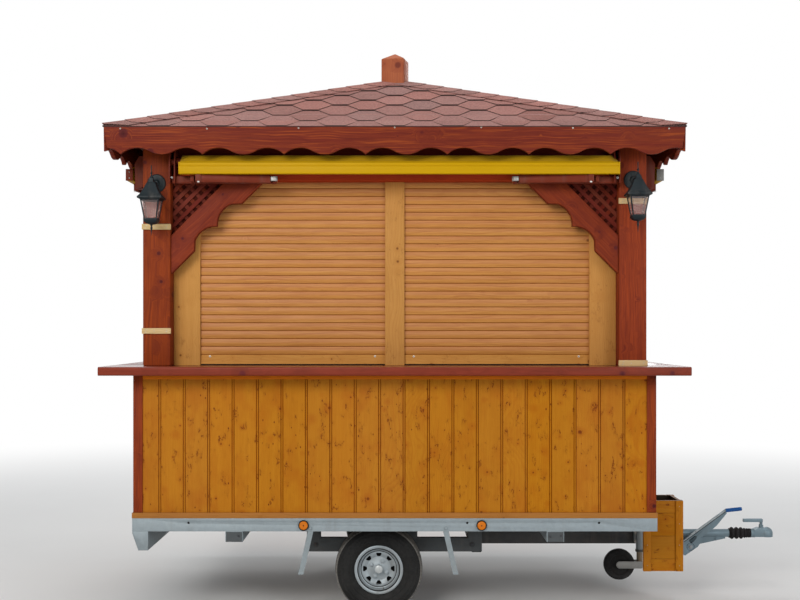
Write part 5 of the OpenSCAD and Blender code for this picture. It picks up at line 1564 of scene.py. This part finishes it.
def build_wheels():
    wheel_x, half_track = -0.095, 0.7425
    window_from, window_to, sideways = 0.0712, 0.0960, 0.4
    for side, out in (("near", -1), ("far", 1)):
        centre = Vector((wheel_x, out * half_track, sizes().wheel_z))
        tyre(side + "_tyre_look", side + "_tyre", centre, out)
        rim = soften(side + "_rim", "wheel_paint", 0.0012, 2, seed=121)
        m = facing(centre, out)
        widen_windows(rim, m)
        # The windows' side faces take the dark finish: painted shade inside the holes
        two_tone(rim, "dark_gap", centre,
                 lambda r, f: window_from < r < window_to and abs(f.normal.y) < sideways)
        k = Kit(122)
        k.lathe([(0.0, 0.058), (0.0250, 0.058), (0.0252, 0.066), (0.0235, 0.0695),
                 (0.0, 0.0710)], m, "wheel_cap", 8, along=(0, 0, 1))
        k.lathe([(0.1218, 0.0760), (0.1190, 0.0775), (0.1172, 0.0740), (0.1160, 0.0560),
                 (0.1130, 0.0515), (0.1083, 0.0500), (0.1083, 0.0475), (0.1140, 0.0480),
                 (0.1218, 0.0560)], m, "wheel_paint", 72, closed=True)
        # A dark ring behind the disc, seen through the windows: painted shade
        k.lathe([(0.062, 0.004), (0.098, 0.004), (0.098, 0.010), (0.062, 0.010)], m,
                "dark_gap", 48, closed=True)
        # Two thin dark rings in the rim's creases: painted shade
        for r, z in ((0.1244, 0.0817), (0.1072, 0.0482)):
            k.lathe([(r - 0.0026, z - 0.0010), (r + 0.0028, z + 0.0004),
                     (r + 0.0026, z + 0.0014), (r - 0.0028, z + 0.0004)], m, "dark_gap", 72,
                    closed=True)
        # A rubber valve with a metal tip, which leans to the hub
        a, valve_r, lean = math.radians(-77), 0.117, 0.25
        out_from_hub = Vector((math.cos(a), math.sin(a), 0))
        start = m @ (out_from_hub * valve_r + Vector((0, 0, 0.056)))
        axis = (m.to_3x3() @ (out_from_hub * -lean + Vector((0, 0, 1)))).normalized()
        k.tube([start, start + axis * 0.024], 0.0048, "dark_gap")
        k.tube([start + axis * 0.022, start + axis * 0.034], 0.0034, "cast_silver")
        place(k.build(side + "_hub_cap", 0.0004, 1), side + "_rim")


def build_jockey():
    soften_all((("jockey_tube", "zinc", 0.0015, 2, 131),
                ("jockey_leg", "grease_steel", 0.001, 1, 132),
                ("jockey_fork", "cast_silver", 0.0012, 2, 133),
                ("jockey_wheel", "jockey_rubber", 0.0015, 2, 134)))
    k = Kit(135)
    x, y = 1.602, -0.078
    k.lathe([(0.0241, 0.0), (0.0275, 0.0), (0.0275, 0.016), (0.0241, 0.016)],
            Matrix.Translation((x, y, 0.229)), "soot_paint", 32, closed=True)
    for z in (0.296, 0.352):
        for dx in (-0.024, 0.026):
            hex_bolt(k, (x + dx, y - 0.0005, z), (0, -1, 0), 0.008)
    k.lathe([(0.0, 0.0), (0.0095, 0.0), (0.0125, 0.006), (0.0125, 0.030), (0.0095, 0.036),
             (0.0, 0.037)], Matrix.Translation((x + 0.073, y, 0.562)), "jockey_rubber", 24)
    place(k.build("jockey_fittings", 0.0004, 1), "jockey_tube")


def bellows():
    """Rubber bellows with round folds that press together on the overrun slide."""
    k = Kit(141)
    valley, bore, length, steps = 0.0262, 0.0195, 0.143, 8
    z = 0.004
    prof = [(bore, 0.0), (0.030, 0.0), (0.032, z)]
    for w, r in ((0.032, 0.0400), (0.031, 0.0395), (0.028, 0.0385), (0.018, 0.0330),
                 (0.012, 0.0312), (0.012, 0.0308)):
        for i in range(steps + 1):
            t = i / steps
            prof.append((valley + (r - valley) * math.sin(math.pi * t), z + w * t))
        z += w
    prof += [(0.030, z + 0.001), (0.030, length), (bore, length)]
    k.lathe(prof, along_x(2.207, 0, 0.337), "bellows_rubber", 40)
    obj = k.build("bellows_folds", 0, 1, 50)
    place(obj, "coupling_bellows", "coupling_bellows")
    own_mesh(obj)


def build_coupling():
    soften_all((("coupling_housing", "coupling_paint", 0.002, 2, 142),
                ("coupling_head", "coupling_paint", 0.002, 2, 143),
                ("coupling_handle", "coupling_paint", 0.002, 2, 144)))
    bellows()
    soften("handbrake_lever", "coupling_paint", 0.001, 1, seed=147)
    k = Kit(145)
    k.turn = Matrix.Translation((1.940, -0.062, 0.257)) @ Matrix.Rotation(
        -math.radians(36), 4, "Y")
    sleeve = Matrix.Translation((0.323, 0, 0.059)) @ Matrix.Rotation(math.radians(120), 4, "Y")
    k.lathe([(0.0, 0.004), (0.0118, 0.004), (0.0124, 0.008), (0.0124, 0.100), (0.0112, 0.108),
             (0.0, 0.1112)], sleeve, "blue_grip", 28)
    for i in range(6):
        z = 0.024 + i * 0.013
        k.lathe([(0.0122, z), (0.0129, z + 0.001), (0.0129, z + 0.003), (0.0122, z + 0.004)],
                sleeve, "blue_grip", 28, closed=True)
    hex_bolt(k, (0.0, -0.0042, 0.0), (0, -1, 0), 0.009, "wheel_paint")
    cheek = 0.0040
    flange = facing((0, -cheek + 0.0002, 0))
    # A lighter strip along the lever's top: painted highlight of its lit flange; the dark strip
    # under it is painted shadow
    k.prism([(-0.014, 0.0545), (0.327, 0.0545), (0.329, 0.0630), (-0.012, 0.0630)], 0.0032,
            flange, "wheel_paint", (1, 0, 0))
    k.prism([(-0.014, 0.0500), (0.318, 0.0500), (0.324, 0.0546), (-0.014, 0.0546)], 0.0014,
            flange, "dark_gap", (1, 0, 0))
    # A dark line round the slot: painted shade on its edges
    slot = [(0.018, 0.019), (0.016, 0.034), (0.022, 0.040), (0.064, 0.040), (0.070, 0.034),
            (0.062, 0.024), (0.028, 0.017), (0.018, 0.019)]
    k.tube([(x, -cheek, z) for x, z in slot], 0.0017, "dark_gap", 8)
    k.lathe([(0.0235, cheek - 0.0004), (0.0255, cheek - 0.0004), (0.0255, cheek + 0.0010),
             (0.0235, cheek + 0.0010)], facing((0, 0, 0)), "dark_gap", 36, closed=True)
    place(k.build("handbrake_grip", 0.0006, 1), "handbrake_lever")
    b = Kit(146)
    for z in (0.232, 0.300, 0.350):
        for y in (-0.020, 0.020):
            hex_bolt(b, (1.892, y, z), (1, 0, 0), 0.007, "wheel_cap")
    for x in (2.02, 2.12):
        hex_bolt(b, (x, -0.0145, 0.300), (0, -1, 0), 0.007, "coupling_paint")
    place(b.build("coupling_bolts", 0.0004, 1), "coupling_housing")


def build_box():
    """Boards and corner strips of the drawbar box."""
    k = Kit(151)
    rear, x1, y0, y1 = 1.515, 1.747, -0.616, -0.359
    x0 = rear + 0.061
    z0, z1, t = 0.210, 0.640, 0.018
    cuts = [z0, 0.285, 0.425, 0.565, z1]
    joint, w, s = 0.002, 0.045, 0.009

    def board(low, high, inner, along):
        mats = ["honey_board"] * 6
        # The inner face is near black: painted shade inside the box
        mats[inner] = "box_lining"
        if high[2] > z1 - 0.003:
            mats[1] = "worn_edge"
        k.box(low, high, mats, along)

    for a, b in zip(cuts, cuts[1:]):
        b -= joint * (b < z1)
        board((rear, y0, a), (x1, y0 + t, b), 4, (1, 0, 0))
        board((x0, y1 - t, a), (x1, y1, b), 2, (1, 0, 0))
        board((x0, y0 + t, a), (x0 + t, y1 - t, b), 3, (0, 1, 0))
        board((x1 - t, y0 + t, a), (x1, y1 - t, b), 5, (0, 1, 0))
    board((x0 + t, y0 + t, z0), (x1 - t, y1 - t, z0 + t), 1, (1, 0, 0))
    for y, sign in ((y0, -1), (y1, 1)):
        low, high = sorted((y, y + sign * s))
        edge = rear if sign < 0 else x0
        strip = ["honey_board", "worn_edge"] + ["honey_board"] * 4
        k.box((x1 + s - w, low, z0), (x1 + s, high, z1), strip, (0, 0, 1))
        k.box((edge, low, z0), (edge + w, high, z1), strip, (0, 0, 1))
        low, high = sorted((y, y - sign * (w - s)))
        k.box((x1, low, z0), (x1 + s, high, z1), strip, (0, 0, 1))
        for x in (edge + w / 2, x1 + s - w / 2):
            for z in (z0 + 0.035, z0 + 0.16, z0 + 0.29, z1 - 0.035):
                screw(k, (x, y + sign * s, z), (0, sign, 0), 0.0025)
    place(k.build("drawbar_box_boards", 0.0015, 2), "drawbar_box", "drawbar_box")


# Stage

def build_stage():
    """Pale floor, white surroundings, soft lights and the camera."""
    scene = bpy.context.scene
    scene.view_settings.view_transform = "Standard"
    build_surroundings(scene)
    build_floor()
    for name, at, aim, power, w, h, tint in (
            ("key", (-3.5, -8.5, 5.0), (0, 0, 1.6), 435, 4.0, 3.0, (1.0, 0.98, 0.95)),
            ("fill", (6.0, -7.0, 3.0), (0, 0, 1.4), 172, 4.0, 3.0, (0.95, 0.97, 1.0)),
            ("back", (1.0, 8.0, 5.5), (0, 0, 1.8), 250, 5.0, 3.0, WHITE),
            ("top", (0.0, 0.0, 7.5), (0, 0, 0), 160, 5.0, 5.0, WHITE)):
        data = bpy.data.lights.new(name, "AREA")
        data.shape = "RECTANGLE"
        data.size, data.size_y, data.energy, data.color = w, h, power, tint
        lamp = shown(name, data)
        lamp.location = at
        lamp.rotation_euler = (Vector(aim) - Vector(at)).to_track_quat("-Z", "Y").to_euler()
    cam = bpy.data.cameras.new("camera")
    cam.lens, cam.sensor_width = 53.1, 36.0
    cam.shift_x, cam.shift_y = 0.00375, 0.0375
    cam.clip_end = 100.0
    view = shown("camera", cam)
    view.location = (0.013, -7.810, 1.680)
    view.rotation_euler = (math.radians(90), 0, 0)
    scene.camera = view


def build_surroundings(scene):
    """Soft light from all round, which looks plain white to the camera, glass and metal."""
    scene.world = bpy.data.worlds.new("studio")
    scene.world.use_nodes = True
    scene.world.node_tree.nodes.clear()
    g = Graph(scene.world.node_tree)
    seen, clear, glossy = g.add("LightPath", out=("Is Camera Ray", "Is Transmission Ray",
                                                  "Is Glossy Ray"))
    white_for = g.math("MAXIMUM", seen, g.math("MAXIMUM", clear, glossy))
    soft = g.add("Background", {0: (0.93, 0.96, 1.0), 1: 0.42})
    white = g.add("Background", {0: WHITE, 1: 1.0})
    mix = g.add("MixShader", {0: white_for, 1: soft, 2: white})
    g.fill(g.nodes.new("ShaderNodeOutputWorld"), {0: mix})


def build_floor():
    """A floor that holds the shadow and turns white far away."""
    g, shader = begin("floor_paint")
    p = g.here()
    g.fill(shader, {
        "Base Color": g.mix(g.noise(p, 0.8, 4.0), (0.74, 0.74, 0.73), (0.80, 0.80, 0.79)),
        "Roughness": 0.85, "Specular IOR Level": 0.1})
    far = g.span(g.length(p), 3.5, 11.0)
    glow = g.add("Emission", {0: WHITE})
    blend = g.add("MixShader", {0: far * g.add("LightPath", out="Is Camera Ray"),
                                1: Value(g, shader.outputs[0]), 2: glow})
    g.fill(g.nodes["Material Output"], {0: blend})
    half = 30
    mesh = bpy.data.meshes.new("floor")
    mesh.from_pydata([(-half, -half, 0), (half, -half, 0), (half, half, 0), (-half, half, 0)],
                     [], [(0, 1, 2, 3)])
    mesh.materials.append(MATS["floor_paint"])
    obj = shown("floor", mesh)
    obj.location.z = -0.0005


# Add-on

def operator(name, label, text, build):
    """An operator class that builds one group of pieces."""

    def execute(self, context):
        build()
        return {"FINISHED"}

    return type("STALL_OT_" + name, (bpy.types.Operator,), {
        "__doc__": text, "bl_idname": "stall." + name, "bl_label": label, "execute": execute})


OPERATORS = [
    operator("finishes", "Finishes", "Makes every material", make_materials),
    operator("walls", "Lower walls", "Builds boards, trims, deck and counter", build_walls),
    operator("posts", "Posts", "Builds posts, braces, headers and battens", build_posts),
    operator("lattice", "Lattice", "Builds the crossed bars in the corners", build_lattice),
    operator("shutters", "Shutters", "Builds the slats of the shutters", build_shutters),
    operator("fascia", "Fascia", "Builds the scalloped boards", build_fascia),
    operator("roof", "Roof", "Builds the shingles, caps and soffit", build_roof),
    operator("awnings", "Awnings", "Builds the three folded awnings", build_awnings),
    operator("lanterns", "Lanterns", "Builds both lanterns", build_lanterns),
    operator("chassis", "Chassis", "Builds rails, beams, bolts and lamps", build_chassis),
    operator("wheels", "Wheels", "Builds the tyres and rims", build_wheels),
    operator("jockey", "Jockey wheel", "Builds the jockey wheel", build_jockey),
    operator("coupling", "Coupling", "Builds the coupling and handbrake", build_coupling),
    operator("box", "Drawbar box", "Builds the box of boards", build_box),
    operator("stage", "Stage", "Builds floor, lights and camera", build_stage),
]


class STALL_PT_panel(bpy.types.Panel):
    """Sizes, colours and build steps of the stall"""
    bl_idname = "STALL_PT_panel"
    bl_label = "Market Stall"
    bl_space_type = "VIEW_3D"
    bl_region_type = "UI"
    bl_category = "Stall"

    def draw(self, context):
        layout = self.layout
        for group_name in ("stall_sizes", "stall_colours"):
            data = getattr(context.scene, group_name)
            for key in data.__annotations__:
                layout.prop(data, key)
        for op in OPERATORS:
            layout.operator(op.bl_idname)


CLASSES = [StallSizes, StallColours, STALL_PT_panel] + OPERATORS


def register():
    for c in CLASSES:
        bpy.utils.register_class(c)
    bpy.types.Scene.stall_sizes = PointerProperty(type=StallSizes)
    bpy.types.Scene.stall_colours = PointerProperty(type=StallColours)


def unregister():
    del bpy.types.Scene.stall_colours
    del bpy.types.Scene.stall_sizes
    for c in reversed(CLASSES):
        bpy.utils.unregister_class(c)


def main():
    register()
    for op in OPERATORS:
        getattr(bpy.ops.stall, op.bl_idname.split(".")[1])()


if __name__ == "__main__":
    main()
